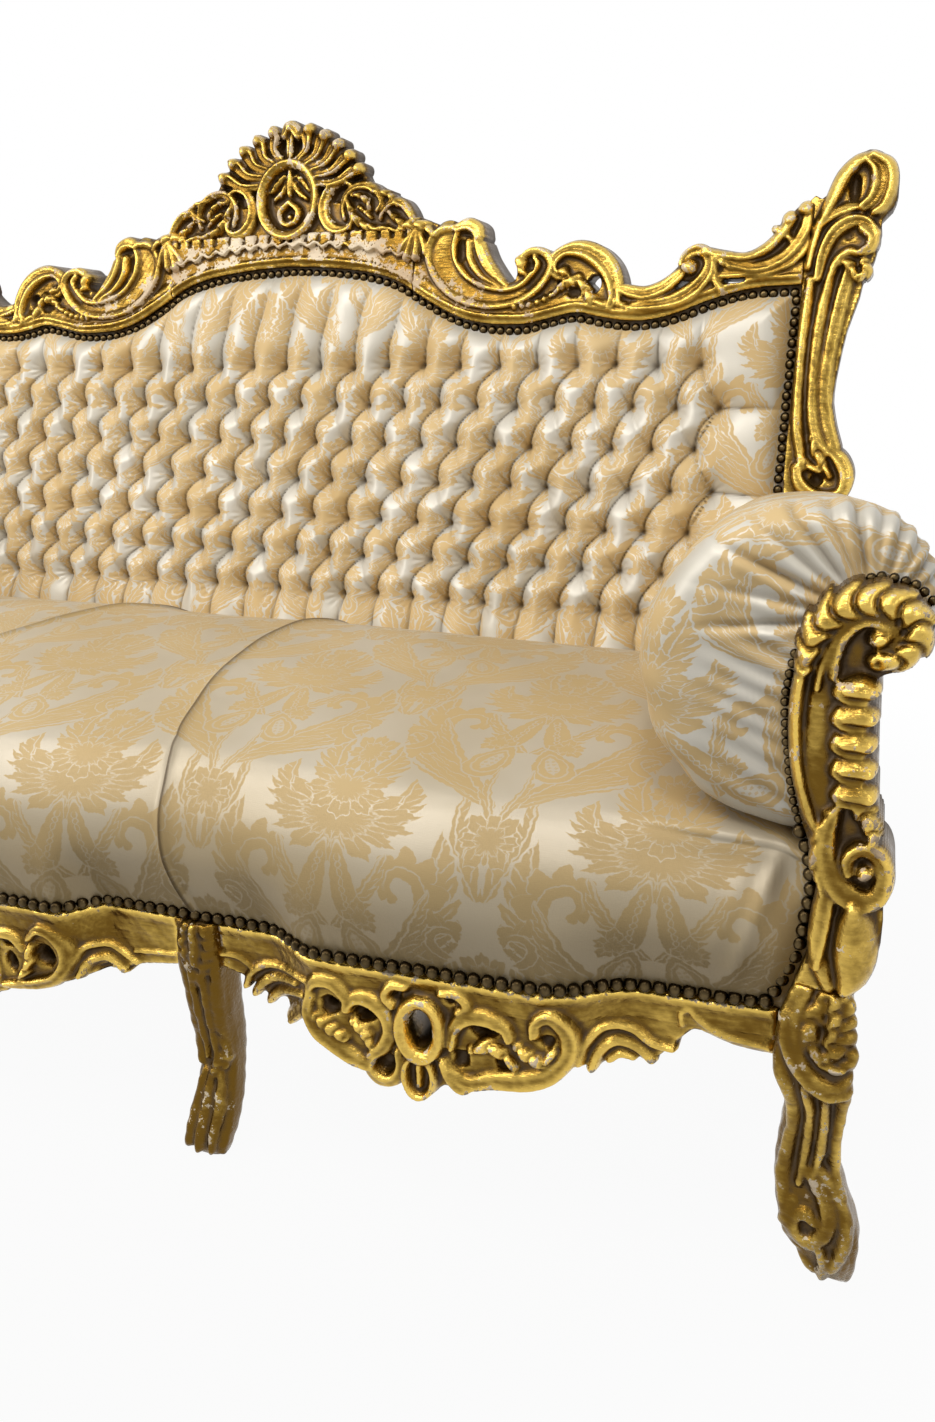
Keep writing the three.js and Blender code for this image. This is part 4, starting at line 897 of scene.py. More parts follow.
def crest_side():
    carving = Carving(196, 832, 950, 1128)
    low = [(x, panel_top(x) + 1) for x in np.linspace(MIDDLE_JOINT, STILE_INNER, PANEL_STEPS)]
    carving.board(low + through(CREST_OUTLINE, 3)[::-1].tolist())
    for spot in CREST_PIERCED:
        carving.pierce(*spot)
    above = carving.Z - panel_top(carving.X)
    band = 5 + 5 * np.exp(-(((above - BAND_RISE) / 3.0) ** 2)) - 4 * smooth(24, BAND_TOP, above)
    carving.raise_to(band, (above < BAND_TOP) & (carving.edge > 0))
    carving.strokes(CREST_STROKES)
    for x, z, radius in CREST_BEADS:
        carving.boss(x, z, radius, 13)
    for hollow in CREST_HOLLOWS:
        carving.hollow(*hollow)
    carving.strokes(TASSEL_STROKES)
    return carving.finished(1.0)


RUFFLE_TOP = 1093.0
RUFFLE_PITCH = 27.0
RUFFLE_RISE = 3.2
PEGS = (0, 28, 52, 78, 106, 134, 160, 184, 206)


def crest_centre():
    """The plain band at the middle, with its ruffle and the pegs over it."""
    carving = Carving(-230, 230, 1000, 1114)
    low = [(x, panel_top(x) + 1) for x in np.linspace(-MIDDLE_JOINT, MIDDLE_JOINT, PANEL_STEPS)]
    carving.board(low + [(MIDDLE_JOINT, 1112), (-MIDDLE_JOINT, 1112)])
    above = carving.Z - panel_top(carving.X)
    carving.raise_to(4 + 5 * np.exp(-(((above - BAND_RISE) / 3.0) ** 2)), carving.edge > 0)
    waves = RUFFLE_RISE * np.cos(2 * math.pi * carving.X / RUFFLE_PITCH)
    ruffle = RUFFLE_TOP - 0.00052 * carving.X**2 + waves
    wave = carving.Z - ruffle
    carving.raise_to(9 + 5 * np.exp(-((wave / 3.5) ** 2)), (wave > -2) & (carving.edge > 0))
    for x in PEGS:
        for side in (-1, 1):
            carving.hollow(side * (x + 6), 1104, 3.2, 8, -1.5)
    return carving.finished(2.0)


SHELL_Z = 1166.0
HEART_SUNK = 7.0
FAN_WIDTH = 145.0
FAN_HEIGHT = 104.0
FAN_GROUND = (132.0, 102.0, -9.0)
FAN_LOBES = 13
FAN_START = 0.2
FAN_BEND = 0.10
LOBE_CROWN = 19.0
RING_WIDTH = 50.0
RING_HEIGHT = 55.0
SHELL_WING = ((228, 1103), (228, 1118), (217, 1138), (200, 1152), (176, 1162), (160, 1172))
SHELL_TIP = ((-9, 1262, 8), (-2, 1274, 11), (10, 1270, 9), (16, 1258, 6))
SHELL_SIDE = [
    # C scroll beside the ring.
    (17, 0.35, 0, (112, 1180, 4), (96, 1184, 6), (78, 1176, 8), (67, 1156, 10), (68, 1134, 11),
     (82, 1117, 10), (102, 1113, 7), (116, 1121, 5), (116, 1132, 4)),
    # Flower scroll: outer lip, petals and curl.
    (16, 0.3, 0, (104, 1128, 4), (100, 1146, 6), (106, 1166, 7), (124, 1177, 8), (146, 1176, 8),
     (164, 1164, 7), (170, 1148, 5), (162, 1138, 4)),
    (15, 0.0, 4, (108, 1160, 5), (116, 1142, 8), (128, 1126, 9), (148, 1114, 8), (170, 1110, 4)),
    (17, 0.0, 3, (118, 1164, 5), (132, 1162, 7), (146, 1152, 7), (150, 1140, 4)),
    (14, 0.0, 3, (130, 1146, 5), (142, 1138, 6), (152, 1128, 4)),
    # Leaf scroll at the flank.
    (16, 0.3, 0, (168, 1126, 4), (174, 1140, 6), (188, 1150, 8), (205, 1147, 8), (218, 1134, 7),
     (228, 1118, 5)),
    (15, 0.0, 4, (152, 1168, 5), (170, 1166, 7), (186, 1158, 7), (198, 1144, 4)),
    (14, 0.0, 3, (180, 1138, 4), (192, 1128, 7), (206, 1118, 8), (222, 1108, 5)),
    (13, 0.0, 3, (140, 1122, 5), (158, 1114, 6), (180, 1112, 5), (198, 1106, 4)),
]
SHELL_HEART = [
    # Leaf and bud inside the ring.
    (15, 0.0, 0, (0, 1206, 5), (-2, 1188, 6), (0, 1170, 4)),
    (13, 0.0, 3, (12, 1200, 5), (22, 1192, 7), (36, 1176, 4)),
    (13, 0.0, 3, (8, 1190, 4), (14, 1176, 6), (30, 1164, 3)),
    (16, 0.0, 0, (0, 1160, 5), (16, 1146, 6), (13, 1130, 6), (0, 1124, 6)),
]


def fan_rim(angle):
    """Direction of a fan lobe, scaled so that the rim comes to a soft point."""
    c, s = math.cos(angle), math.sin(angle)
    scale = (abs(c) ** 1.7 + abs(s) ** 1.7) ** (-1 / 1.7)
    return c * scale, s * scale


def crest_shell():
    """The fan of lobes over the middle, with its scrolls, and the ring round a leaf and bud."""
    carving = Carving(-236, 236, 1096, 1294)
    rim = [fan_rim(angle) for angle in np.linspace(FAN_START / 2, math.pi - FAN_START / 2, 40)]
    arc = [(FAN_WIDTH * c, SHELL_Z + FAN_HEIGHT * s) for c, s in rim]
    carving.board([*SHELL_WING, *arc, *[(-x, z) for x, z in SHELL_WING[::-1]]])
    half_width, half_height, ground = FAN_GROUND
    fan = carving.ellipse(0, SHELL_Z, half_width, half_height) > 0
    carving.height = np.where(fan & (carving.Z > SHELL_Z - 10), ground, carving.height)
    for k in range(FAN_LOBES):
        angle = math.pi * (k + 0.5) / FAN_LOBES
        if not FAN_START < angle < math.pi - FAN_START:
            continue
        c, s = fan_rim(angle)
        bend = FAN_BEND * math.copysign(1, c) * (abs(c) > 0.02)
        c2, s2 = fan_rim(angle - bend)
        thick = 1 + 0.12 * math.sin(5.0 * k)
        finger = [
            (50 * c, SHELL_Z + 58 * s, 6.5), (92 * c2, SHELL_Z + 80 * s2, 8.5 * thick),
            (126 * c, SHELL_Z + 98 * s, 12.5 * thick), (140 * c, SHELL_Z + 108 * s, 11),
        ]
        carving.stroke(finger, LOBE_CROWN, 0.45)
        carving.boss(138 * c, SHELL_Z + 106 * s, 10.5, LOBE_CROWN + 4)
    for side in (-1, 1):
        carving.strokes(SHELL_SIDE, side, 1)
    inner = carving.ellipse(0, SHELL_Z - 2, RING_WIDTH - 6, RING_HEIGHT - 5)
    carving.height = np.where(inner > 0, -HEART_SUNK, carving.height)
    for side in (-1, 1):
        carving.strokes(SHELL_HEART, side, 1, HEART_SUNK)
    carving.boss(0, 1137, 5, 6)
    carving.ring(0, SHELL_Z - 3, RING_WIDTH, RING_HEIGHT, 9, 20, 0.15)
    carving.stroke(SHELL_TIP, LOBE_CROWN + 5, 0.3)
    return carving.finished(3.0)


# Stile, with its finial and the raked leg under it.
STILE_OUTLINE = [
    (838, 290), (838, 640), (833, 690), (827, 740), (826, 800), (826, 910), (826, 1010), (826, 1117),
    (842, 1119), (858, 1133), (868, 1152), (880, 1170), (898, 1179), (915, 1175), (929, 1161),
    (938, 1142), (941, 1122), (936, 1102), (923, 1088), (925, 1073), (921, 1050), (917, 1032),
    (909, 1025), (904, 990), (892, 945), (886, 900), (883, 860), (887, 820), (898, 780), (912, 762),
    (917, 742), (917, 720), (907, 698), (905, 490), (905, 290), (902, 225), (898, 120), (893, 0),
    (860, 0), (856, 120), (846, 225),
]
STILE_STROKES = [
    (12, 0.0, 0, (838, 1012, 6), (836, 950, 7.5), (836, 900, 7.5), (837, 850, 7.5), (840, 810, 7.5),
     (847, 780, 7), (850, 754, 5)),
    (16, 0.35, 0, (918, 1070, 5), (902, 1086, 7), (880, 1086, 9), (862, 1072, 9), (851, 1046, 8),
     (847, 1015, 6)),
    (14, 0.0, 0, (864, 1018, 6), (858, 975, 8), (855, 930, 8.5), (855, 880, 8.5), (859, 835, 9),
     (868, 802, 9), (884, 780, 6)),
    (12, 0.25, 0, (889, 1030, 7), (883, 995, 9), (877, 955, 9), (872, 905, 8), (872, 860, 8), (880, 820, 8),
     (893, 786, 7)),
    (15, 0.0, 0, (898, 1044, 5), (884, 1046, 7), (870, 1034, 7), (862, 1010, 5)),
    (15, 0.0, 0, (846, 1094, 6), (856, 1118, 8), (868, 1146, 9), (884, 1164, 8), (900, 1170, 6)),
    (19, 0.35, 0, (898, 1168, 7), (912, 1156, 10), (916, 1134, 11), (910, 1114, 10), (898, 1105, 7)),
    (18, 0.0, 0, (904, 1172, 5), (926, 1158, 7), (932, 1132, 7), (925, 1106, 7), (912, 1096, 5)),
    (13, 0.2, 0, (836, 1078, 6), (852, 1094, 7), (876, 1104, 7), (896, 1108, 5)),
    (14, 0.0, 0, (832, 1030, 5), (836, 1060, 6), (842, 1088, 6)),
    (19, 0.3, 0, (900, 1078, 6), (914, 1068, 8), (912, 1052, 7), (900, 1046, 5)),
    (16, 0.0, 2, (906, 1034, 6), (910, 1022, 8), (900, 1012, 5)),
    (17, 0.0, 2, (876, 1036, 6), (888, 1030, 8), (896, 1016, 5)),
    (17, 0.35, 0, (884, 786, 6), (902, 770, 9), (912, 748, 9), (908, 726, 8), (890, 718, 8), (868, 722, 8),
     (850, 736, 8), (842, 758, 6)),
    (14, 0.0, 3, (862, 800, 6), (868, 782, 8), (880, 764, 7), (890, 748, 4)),
    (13, 0.0, 2, (846, 780, 5), (856, 764, 7), (874, 756, 5)),
    (7, 0.0, 0, (848, 700, 4), (846, 500, 4), (846, 300, 4), (852, 120, 4), (862, 12, 4)),
    (7, 0.0, 0, (896, 690, 4), (896, 500, 4), (896, 300, 4), (892, 120, 4), (888, 12, 4)),
]


STILE_HOLLOWS = ((884, 1131, 8, 18, 14), (872, 742, 9, 9, 12), (883, 1068, 6, 5, 3))
LEG_TOP = 712.0


def stile():
    carving = Carving(818, 946, 0, 1184)
    carving.board(through([*STILE_OUTLINE, STILE_OUTLINE[0]], 2)[:-1])
    carving.raise_to(3.0, (carving.edge > 2) & (carving.Z < LEG_TOP))
    carving.strokes(STILE_STROKES)
    for hollow in STILE_HOLLOWS:
        carving.hollow(*hollow)
    return carving.finished(4.0)


# Arm post.
POST_OUTLINE = [
    (930, 346), (941, 384), (945, 410), (947, 445), (940, 474), (929, 491), (920, 515), (912, 546),
    (907, 577), (903, 608), (906, 641), (917, 675), (932, 698), (949, 712), (969, 718), (990, 713),
    (1003, 700), (1009, 683), (1005, 667), (994, 653), (982, 646), (972, 641), (968, 628), (972, 606),
    (973, 580), (974, 554), (976, 521), (979, 503), (985, 489), (993, 460), (998, 424), (996, 380),
    (980, 346),
]
POST_STROKES = [
    (6, 0.0, 0, (932, 668, 7), (930, 640, 9), (930, 600, 11), (932, 560, 11), (939, 525, 9), (946, 498, 6)),
    (13, 0.0, 0, (946, 372, 5), (951, 410, 5), (952, 450, 5), (944, 485, 5), (926, 520, 5), (914, 560, 5),
     (909, 608, 5), (912, 645, 5), (924, 680, 5), (942, 702, 4)),
    (21, 0.0, 10, (912, 646, 7), (919, 678, 12), (940, 700, 14), (967, 706, 13), (991, 697, 12),
     (998, 678, 12), (988, 661, 11), (970, 656, 8)),
    (19, 0.3, 0, (936, 640, 4), (936, 664, 6), (944, 682, 7), (958, 691, 7), (974, 688, 7), (980, 676, 6),
     (972, 668, 6)),
    (13, 0.0, 0, (924, 628, 3), (926, 650, 5), (932, 668, 5)),
    (23, 0.0, 0, (967, 676, 7), (969, 677, 8)),
    # Leaf volute under the husks.
    (18, 0.25, 0, (952, 528, 4), (946, 508, 7), (945, 484, 9), (953, 460, 11), (970, 444, 11),
     (988, 446, 9), (994, 464, 8), (988, 484, 8), (974, 490, 7), (964, 480, 6), (966, 468, 5)),
    (16, 0.0, 3, (944, 520, 4), (938, 496, 6), (938, 470, 6), (946, 446, 4)),
    (19, 0.0, 0, (977, 470, 7), (978, 471, 7)),
    (18, 0.0, 3, (960, 536, 6), (974, 522, 9), (982, 506, 7), (980, 494, 4)),
    # Bud under the volute.
    (22, 0.0, 0, (974, 436, 8), (976, 415, 14), (978, 390, 16), (978, 368, 12), (974, 356, 7)),
    (10, 0.0, 0, (948, 448, 6), (948, 410, 9), (950, 380, 9), (960, 354, 7)),
]
HUSKS = ((957, 632), (958, 609), (959, 586), (961, 563), (964, 541))


def post():
    carving = Carving(896, 1016, 340, 726)
    carving.board(through([*POST_OUTLINE, POST_OUTLINE[0]], 2)[:-1])
    carving.strokes(POST_STROKES)
    for x, z in HUSKS:
        carving.stroke([(x - 14, z + 4, 4), (x - 15, z - 5, 6), (x - 6, z - 10, 6), (x + 6, z - 10, 5)], 16)
        carving.stroke([(x - 8, z + 1, 9), (x + 2, z + 2, 11), (x + 10, z, 9)], 23, 0.12)
    return carving.finished(5.0)


# Front aprons.
SIDE_APRON_EDGE = [
    (318, 244), (325, 243), (345, 238), (363, 231), (378, 219), (392, 221), (405, 225), (409, 210),
    (420, 212), (437, 217), (453, 207), (480, 192), (509, 186), (516, 172), (528, 166), (541, 169),
    (549, 174), (555, 162), (570, 154), (584, 160), (597, 174), (612, 171), (630, 184), (650, 196),
    (679, 201), (711, 209), (731, 221), (748, 213), (765, 223), (780, 228), (798, 219), (817, 237),
    (835, 259), (846, 263), (879, 252), (918, 248),
]
SIDE_APRON_STROKES = [
    # Leaves at the inner end.
    (10, 0.0, 0, (350, 228, 4), (358, 246, 5), (378, 260, 5), (410, 266, 4), (450, 270, 3)),
    (11, 0.0, 0, (362, 222, 5), (374, 238, 6), (394, 250, 6), (425, 258, 4)),
    (11, 0.0, 0, (380, 216, 5), (392, 230, 6), (410, 242, 6), (436, 250, 4)),
    (13, 0.3, 0, (412, 208, 7), (424, 222, 8), (438, 238, 8), (448, 256, 5)),
    # First scroll, with the hollow it closes round.
    (15, 0.3, 0, (446, 262, 5), (458, 276, 7), (477, 276, 7), (492, 262, 6), (494, 248, 5)),
    (16, 0.3, 0, (450, 256, 5), (445, 236, 7), (455, 218, 8), (475, 204, 9), (498, 192, 9), (514, 186, 6)),
    (14, 0.0, 3, (458, 232, 6), (472, 222, 8), (488, 214, 6)),
    # Second scroll and its curl.
    (16, 0.3, 0, (490, 250, 5), (502, 263, 7), (521, 263, 8), (536, 250, 8), (541, 232, 8), (534, 212, 8),
     (520, 198, 6)),
    (14, 0.0, 3, (500, 234, 5), (512, 224, 7), (520, 210, 5)),
    (15, 0.3, 0, (550, 208, 5), (552, 190, 6), (544, 173, 7), (528, 169, 7), (516, 180, 6), (520, 196, 5)),
    # Third scroll, beyond the cartouche.
    (16, 0.3, 0, (606, 226, 5), (608, 246, 7), (622, 262, 8), (642, 266, 8), (662, 258, 6), (668, 246, 5)),
    (15, 0.0, 3, (628, 226, 5), (646, 234, 8), (664, 226, 6), (674, 214, 4)),
    (16, 0.35, 0, (606, 196, 5), (626, 186, 7), (650, 194, 9), (684, 200, 10), (710, 212, 10),
     (726, 234, 9), (724, 258, 9), (708, 276, 8), (694, 268, 6), (692, 254, 5)),
    (15, 0.0, 3, (676, 238, 5), (688, 230, 7), (702, 226, 6), (710, 236, 4)),
    (14, 0.0, 0, (598, 206, 5), (606, 190, 7), (618, 178, 6), (630, 184, 5)),
    # Fan at the outer end.
    (11, 0.0, 0, (734, 222, 5), (740, 244, 5), (756, 260, 5), (780, 258, 5), (802, 244, 5), (822, 240, 4)),
    (12, 0.0, 0, (746, 214, 5), (752, 232, 6), (766, 243, 6), (786, 238, 6), (802, 224, 5)),
    (11, 0.0, 0, (762, 222, 5), (772, 228, 5), (784, 224, 4)),
    (8, 0.0, 0, (828, 268, 4), (827, 282, 4), (836, 288, 4), (843, 279, 4), (868, 264, 4), (914, 256, 3)),
    (8, 0.0, 0, (318, 262, 3), (340, 263, 4), (360, 252, 3)),
    # Ears over the cartouche.
    (13, 0.0, 0, (596, 286, 5), (612, 288, 6), (624, 276, 6), (614, 266, 5)),
    (13, 0.0, 0, (556, 284, 5), (544, 284, 6), (536, 272, 6), (544, 262, 5)),
]
SIDE_APRON_HOLLOWS = [
    (471, 246, 11, 11, 8), (512, 243, 12, 9, 8), (534, 190, 9, 10, 8), (640, 247, 14, 8, 8),
    (662, 213, 10, 7, 8), (705, 247, 7, 7, 7), (616, 210, 8, 10, 8), (604, 277, 5, 5, 5),
    (548, 273, 4, 4, 4),
]


SIDE_APRON_PIERCED = ((574, 240, 12, 22), (512, 243, 7, 5), (640, 248, 9, 4), (471, 247, 6, 6))
RAIL_LIP = 268.0
APRON_GROUND = 3.0


def rail_face(carving, outline):
    """The plain face of a front rail, with the lip along its top."""
    carving.board(outline)
    lip = 7 - 3 * smooth(6, 16, RAIL_TOP - carving.Z)
    carving.raise_to(lip, (carving.Z > RAIL_LIP) & (carving.edge > 0))
    carving.raise_to(APRON_GROUND, carving.edge > 0)


def side_apron():
    carving = Carving(316, 920, 146, 302)
    rail_face(carving, through(SIDE_APRON_EDGE, 3).tolist() + [(918, RAIL_TOP), (318, RAIL_TOP)])
    for hollow in SIDE_APRON_HOLLOWS:
        carving.hollow(*hollow)
    carving.strokes(SIDE_APRON_STROKES)
    carving.ring(572, 184, 15, 24, 5, 16)
    carving.stroke([(572, 196, 5), (572, 172, 4)], 12)
    carving.ring(574, 240, 20, 31, 9, 20, 0.15)
    for spot in SIDE_APRON_PIERCED:
        carving.pierce(*spot)
    return carving.finished(6.0)


CENTRE_APRON_EDGE = [
    (0, 156), (12, 159), (24, 172), (45, 180), (60, 190), (95, 197), (123, 207), (136, 210), (150, 213),
    (168, 216), (186, 214), (200, 224), (230, 231), (255, 235), (266, 238),
]
CENTRE_APRON_STROKES = [
    (16, 0.35, 0, (92, 262, 5), (108, 276, 7), (128, 272, 8), (141, 256, 9), (140, 234, 9), (124, 214, 9),
     (98, 203, 9), (70, 196, 7), (48, 192, 5)),
    (15, 0.0, 3, (72, 206, 5), (84, 220, 8), (90, 236, 8), (92, 250, 5)),
    (15, 0.3, 0, (34, 250, 5), (50, 260, 7), (70, 260, 7), (84, 246, 5)),
    (14, 0.3, 0, (28, 232, 5), (36, 216, 6), (38, 196, 6), (28, 182, 5)),
    (11, 0.0, 0, (146, 236, 4), (154, 251, 5), (174, 250, 5), (194, 240, 5), (208, 230, 4)),
    (12, 0.0, 0, (148, 216, 5), (156, 232, 6), (170, 234, 6), (182, 224, 5), (190, 216, 4)),
    (8, 0.0, 0, (204, 244, 3), (230, 248, 4), (262, 251, 3)),
]
CENTRE_APRON_HOLLOWS = [
    (110, 240, 13, 14, 8), (58, 222, 9, 13, 8), (56, 247, 10, 5, 7), (166, 219, 6, 5, 4),
]
CENTRE_APRON_PIERCED = [(110, 240, 9, 9), (58, 222, 5, 9)]


def centre_apron():
    carving = Carving(-268, 268, 150, 302)
    right = through(CENTRE_APRON_EDGE, 3).tolist()
    left = [(-x, z) for x, z in right[:0:-1]]
    rail_face(carving, left + right + [(266, RAIL_TOP), (-266, RAIL_TOP)])
    for side in (-1, 1):
        for x, *rest in CENTRE_APRON_HOLLOWS:
            carving.hollow(side * x, *rest)
        carving.strokes(CENTRE_APRON_STROKES, side, 1)
        for x, *rest in CENTRE_APRON_PIERCED:
            carving.pierce(side * x, *rest)
    carving.ring(0, 180, 13, 18, 5, 16)
    carving.ring(0, 232, 18, 28, 9, 20, 0.15)
    carving.pierce(0, 232, 10, 19)
    return carving.finished(7.0)


def crest_wear(points):
    """Gesso showing along the plain band over the back, most of all at the middle."""
    above = points[:, 2] - panel_top(points[:, 0])
    middle = np.exp(-((points[:, 0] / 420) ** 4))
    return 0.38 * middle * smooth(8, 18, above) * (1 - smooth(48, 70, above))


gilt("carved_crest_rail", crest_side(), lay_back, FRAME_DEPTH, "crest_rail", 0.16, 0.08, True, crest_wear)
gilt("carved_crest_middle", crest_centre(), lay_back, FRAME_DEPTH, "crest_rail_centre", 0.24, 0.29,
     wear_at=crest_wear)
gilt("carved_crest_shell", crest_shell(), lay_back, SHELL_DEPTH, "crest_shell", 0.24, 0.31)
gilt("carved_back_stile", stile(), lay_back, FRAME_DEPTH, "back_stile", 0.1, 0.02, True)
gilt("carved_arm_post", post(), lay_post, POST_DEPTH - POST_SET, "arm_post", 0.16, 0.1, True)
gilt("carved_side_apron", side_apron(), lay_front, APRON_DEPTH, "front_rail", 0.14, 0.03, True)
gilt("carved_middle_apron", centre_apron(), lay_front, APRON_DEPTH, "front_rail_centre", 0.14, 0.03)


# Legs.
CORNER_LEG = {"x": 955.0, "y": -375.0, "width": 60.0, "depth": 66.0, "height": 345.0}
# Stations up a leg: share of its height, middle in x and y, half width and half depth.
CORNER_STATIONS = [
    (0, 0.64, 0.2, 0.26, 0.22), (0.04, 0.62, 0.14, 0.34, 0.34), (0.13, 0.49, 0.05, 0.5, 0.42),
    (0.22, 0.32, 0.02, 0.63, 0.46), (0.34, 0.13, 0.04, 0.57, 0.43), (0.44, 0.03, 0.06, 0.49, 0.41),
    (0.6, 0.06, 0.02, 0.47, 0.44), (0.72, -0.02, -0.05, 0.6, 0.52), (0.84, -0.04, -0.04, 0.58, 0.52),
    (0.93, -0.02, -0.02, 0.5, 0.49), (1, 0, 0, 0.42, 0.46),
]
CORNER_STROKES = [
    (7, 0.0, 0, (925, 340, 5), (917, 305, 6), (919, 268, 6), (933, 236, 6), (941, 205, 6), (938, 165, 6),
     (936, 125, 6), (946, 80, 5)),
    (8, 0.0, 0, (948, 246, 4), (956, 215, 5), (956, 170, 5), (953, 130, 4)),
    (9, 0.0, 0, (968, 244, 4), (970, 205, 5), (969, 170, 5), (965, 142, 3)),
    (9, 0.0, 0, (986, 246, 4), (985, 215, 5), (983, 175, 5), (987, 140, 5), (996, 118, 4)),
    (12, 0.35, 0, (940, 344, 7), (931, 316, 9), (934, 285, 9), (950, 259, 9), (972, 246, 9), (990, 256, 8),
     (995, 274, 6)),
    (9, 0.0, 3, (958, 338, 7), (950, 318, 10), (950, 294, 9), (962, 276, 6)),
    (12, 0.0, 4, (976, 340, 6), (982, 322, 10), (980, 300, 11), (968, 284, 7)),
    (13, 0.0, 3, (964, 346, 6), (968, 322, 7), (966, 298, 6)),
    (12, 0.0, 3, (992, 300, 5), (990, 284, 8), (978, 272, 7), (966, 272, 4)),
    (13, 0.0, 0, (985, 286, 6), (986, 282, 6)),
    (9, 0.2, 0, (956, 150, 4), (970, 132, 7), (982, 108, 8), (982, 84, 8), (970, 66, 8), (954, 70, 7),
     (950, 88, 6), (960, 99, 6), (970, 92, 5)),
    (8, 0.0, 0, (970, 150, 5), (988, 126, 6), (1001, 98, 7), (1001, 66, 7), (992, 36, 6)),
    (7, 0.0, 3, (948, 108, 5), (943, 86, 7), (947, 58, 7), (960, 36, 6), (974, 22, 4)),
    (7, 0.0, 0, (978, 60, 4), (984, 40, 6), (984, 18, 5)),
]
MIDDLE_LEG = {"x": 293.0, "y": -398.0, "width": 56.0, "depth": 60.0, "height": 300.0}
MIDDLE_STATIONS = [
    (0, -0.04, -0.4, 0.4, 0.29), (0.045, -0.05, -0.4, 0.48, 0.36), (0.12, -0.02, -0.24, 0.5, 0.44),
    (0.24, 0, 0, 0.46, 0.44), (0.42, 0, 0.2, 0.43, 0.42), (0.62, 0, 0.08, 0.47, 0.46),
    (0.8, 0, 0, 0.5, 0.5), (1, 0, 0, 0.5, 0.5),
]
MIDDLE_STROKES = [
    (7, 0.0, 0, (270, 296, 6), (268, 262, 7), (271, 225, 7), (275, 180, 7), (275, 130, 6), (277, 108, 4)),
    (7, 0.0, 0, (316, 296, 6), (318, 262, 7), (315, 225, 7), (311, 180, 7), (312, 130, 6), (311, 108, 4)),
    (9, 0.0, 0, (287, 240, 4), (287, 210, 5), (288, 160, 5), (290, 118, 3)),
    (9, 0.0, 0, (301, 240, 4), (301, 210, 5), (300, 160, 5), (300, 118, 3)),
    (9, 0.0, 5, (292, 226, 5), (283, 250, 8), (276, 276, 8), (282, 296, 5)),
    (9, 0.0, 5, (294, 226, 5), (303, 250, 8), (310, 276, 8), (304, 296, 5)),
    (11, 0.0, 0, (293, 250, 5), (293, 272, 8), (293, 296, 5)),
    (10, 0.0, 4, (296, 98, 5), (300, 112, 7), (308, 124, 6), (314, 118, 4)),
    (7, 0.0, 0, (284, 100, 4), (278, 62, 7), (274, 30, 6), (270, 10, 4)),
    (7, 0.0, 0, (294, 104, 4), (292, 62, 7), (289, 30, 7), (286, 8, 4)),
    (7, 0.0, 0, (306, 100, 4), (309, 62, 7), (306, 30, 6), (304, 10, 4)),
]
LEG_SIDES = 112
LEG_PITCH = 2.2
LEG_GROUND = 4.0
LEG_LIFT = 1.1
LEG_TOE_WEAR = 150.0


def grid_normals(points, around=False):
    """Unit normals of a grid of points."""
    if around:
        across = np.roll(points, -1, 1) - np.roll(points, 1, 1)
    else:
        across = np.gradient(points, axis=1)
    normal = np.cross(across, np.gradient(points, axis=0))
    return normal / np.maximum(np.linalg.norm(normal, axis=2, keepdims=True), 1e-9)


def leg(name, spec, stations, strokes, seed, age, nodes):
    """A round-cornered leg, with the carving of its front pressed into its surface."""
    height = spec["height"]
    rows = int(height / LEG_PITCH)
    z = np.linspace(0, 1, rows)
    level, *shape = through(stations, 8).T
    at_x, at_y, half_width, half_depth = [np.interp(z, level, column)[:, None] for column in shape]
    angle = np.linspace(0, 2 * math.pi, LEG_SIDES, endpoint=False)
    c, s = np.cos(angle), np.sin(angle)
    square = (np.abs(c) ** 3 + np.abs(s) ** 3) ** (-1 / 3)
    points = np.stack([
        spec["x"] + spec["width"] * (at_x + half_width * c * square),
        spec["y"] + spec["depth"] * (at_y + half_depth * s * square),
        np.broadcast_to(z[:, None] * height, (rows, LEG_SIDES)),
    ], axis=2)
    x, y, z = points[..., 0], points[..., 1], points[..., 2]
    carving = Carving(x.min() - LEG_GROUND, x.max() + LEG_GROUND, -LEG_GROUND, height + LEG_GROUND)
    carving.edge = np.full(carving.X.shape, 40.0)
    carving.strokes(strokes)
    carving.finished(seed)
    normal = grid_normals(points, True)
    facing = smooth(0.05, 0.55, -normal[..., 1])[..., None]
    lift = carving.sample(carving.height, x, z)[..., None]
    rough = 0.8 * wobble(x + y, z, seed, 9.0)[..., None]
    settled = (points + normal * ((lift - LEG_GROUND) * facing * LEG_LIFT + rough)).reshape(-1, 3)
    # Relief on the carved front, read by the gilding as painted highlight on ridges and painted shade in
    # hollows.
    hollow = carving.sample(carving.relief, x, z) * facing[..., 0]
    faces = grid_faces(rows, LEG_SIDES, True)[:, ::-1].tolist()
    faces.append(list(range(LEG_SIDES))[::-1])
    faces.append(list(range((rows - 1) * LEG_SIDES, rows * LEG_SIDES)))
    scuff = 0.2 * (1 - smooth(0, LEG_TOE_WEAR, z)) + 0.40 - age * 0.5
    attributes = {"relief": hollow.ravel(), "wear": scuff.ravel(), "age": np.full(scuff.size, age)}
    both_sides(name, settled, faces, GILT, nodes, "gilding", attributes)


# On the legs the age darkens the leaf as painted shade under the seat, the middle leg most.
leg("carved_front_leg", CORNER_LEG, CORNER_STATIONS, CORNER_STROKES, 8.0, 0.28, ["front_leg"])
leg("carved_middle_leg", MIDDLE_LEG, MIDDLE_STATIONS, MIDDLE_STROKES, 9.0, 0.44, ["front_mid_leg"])


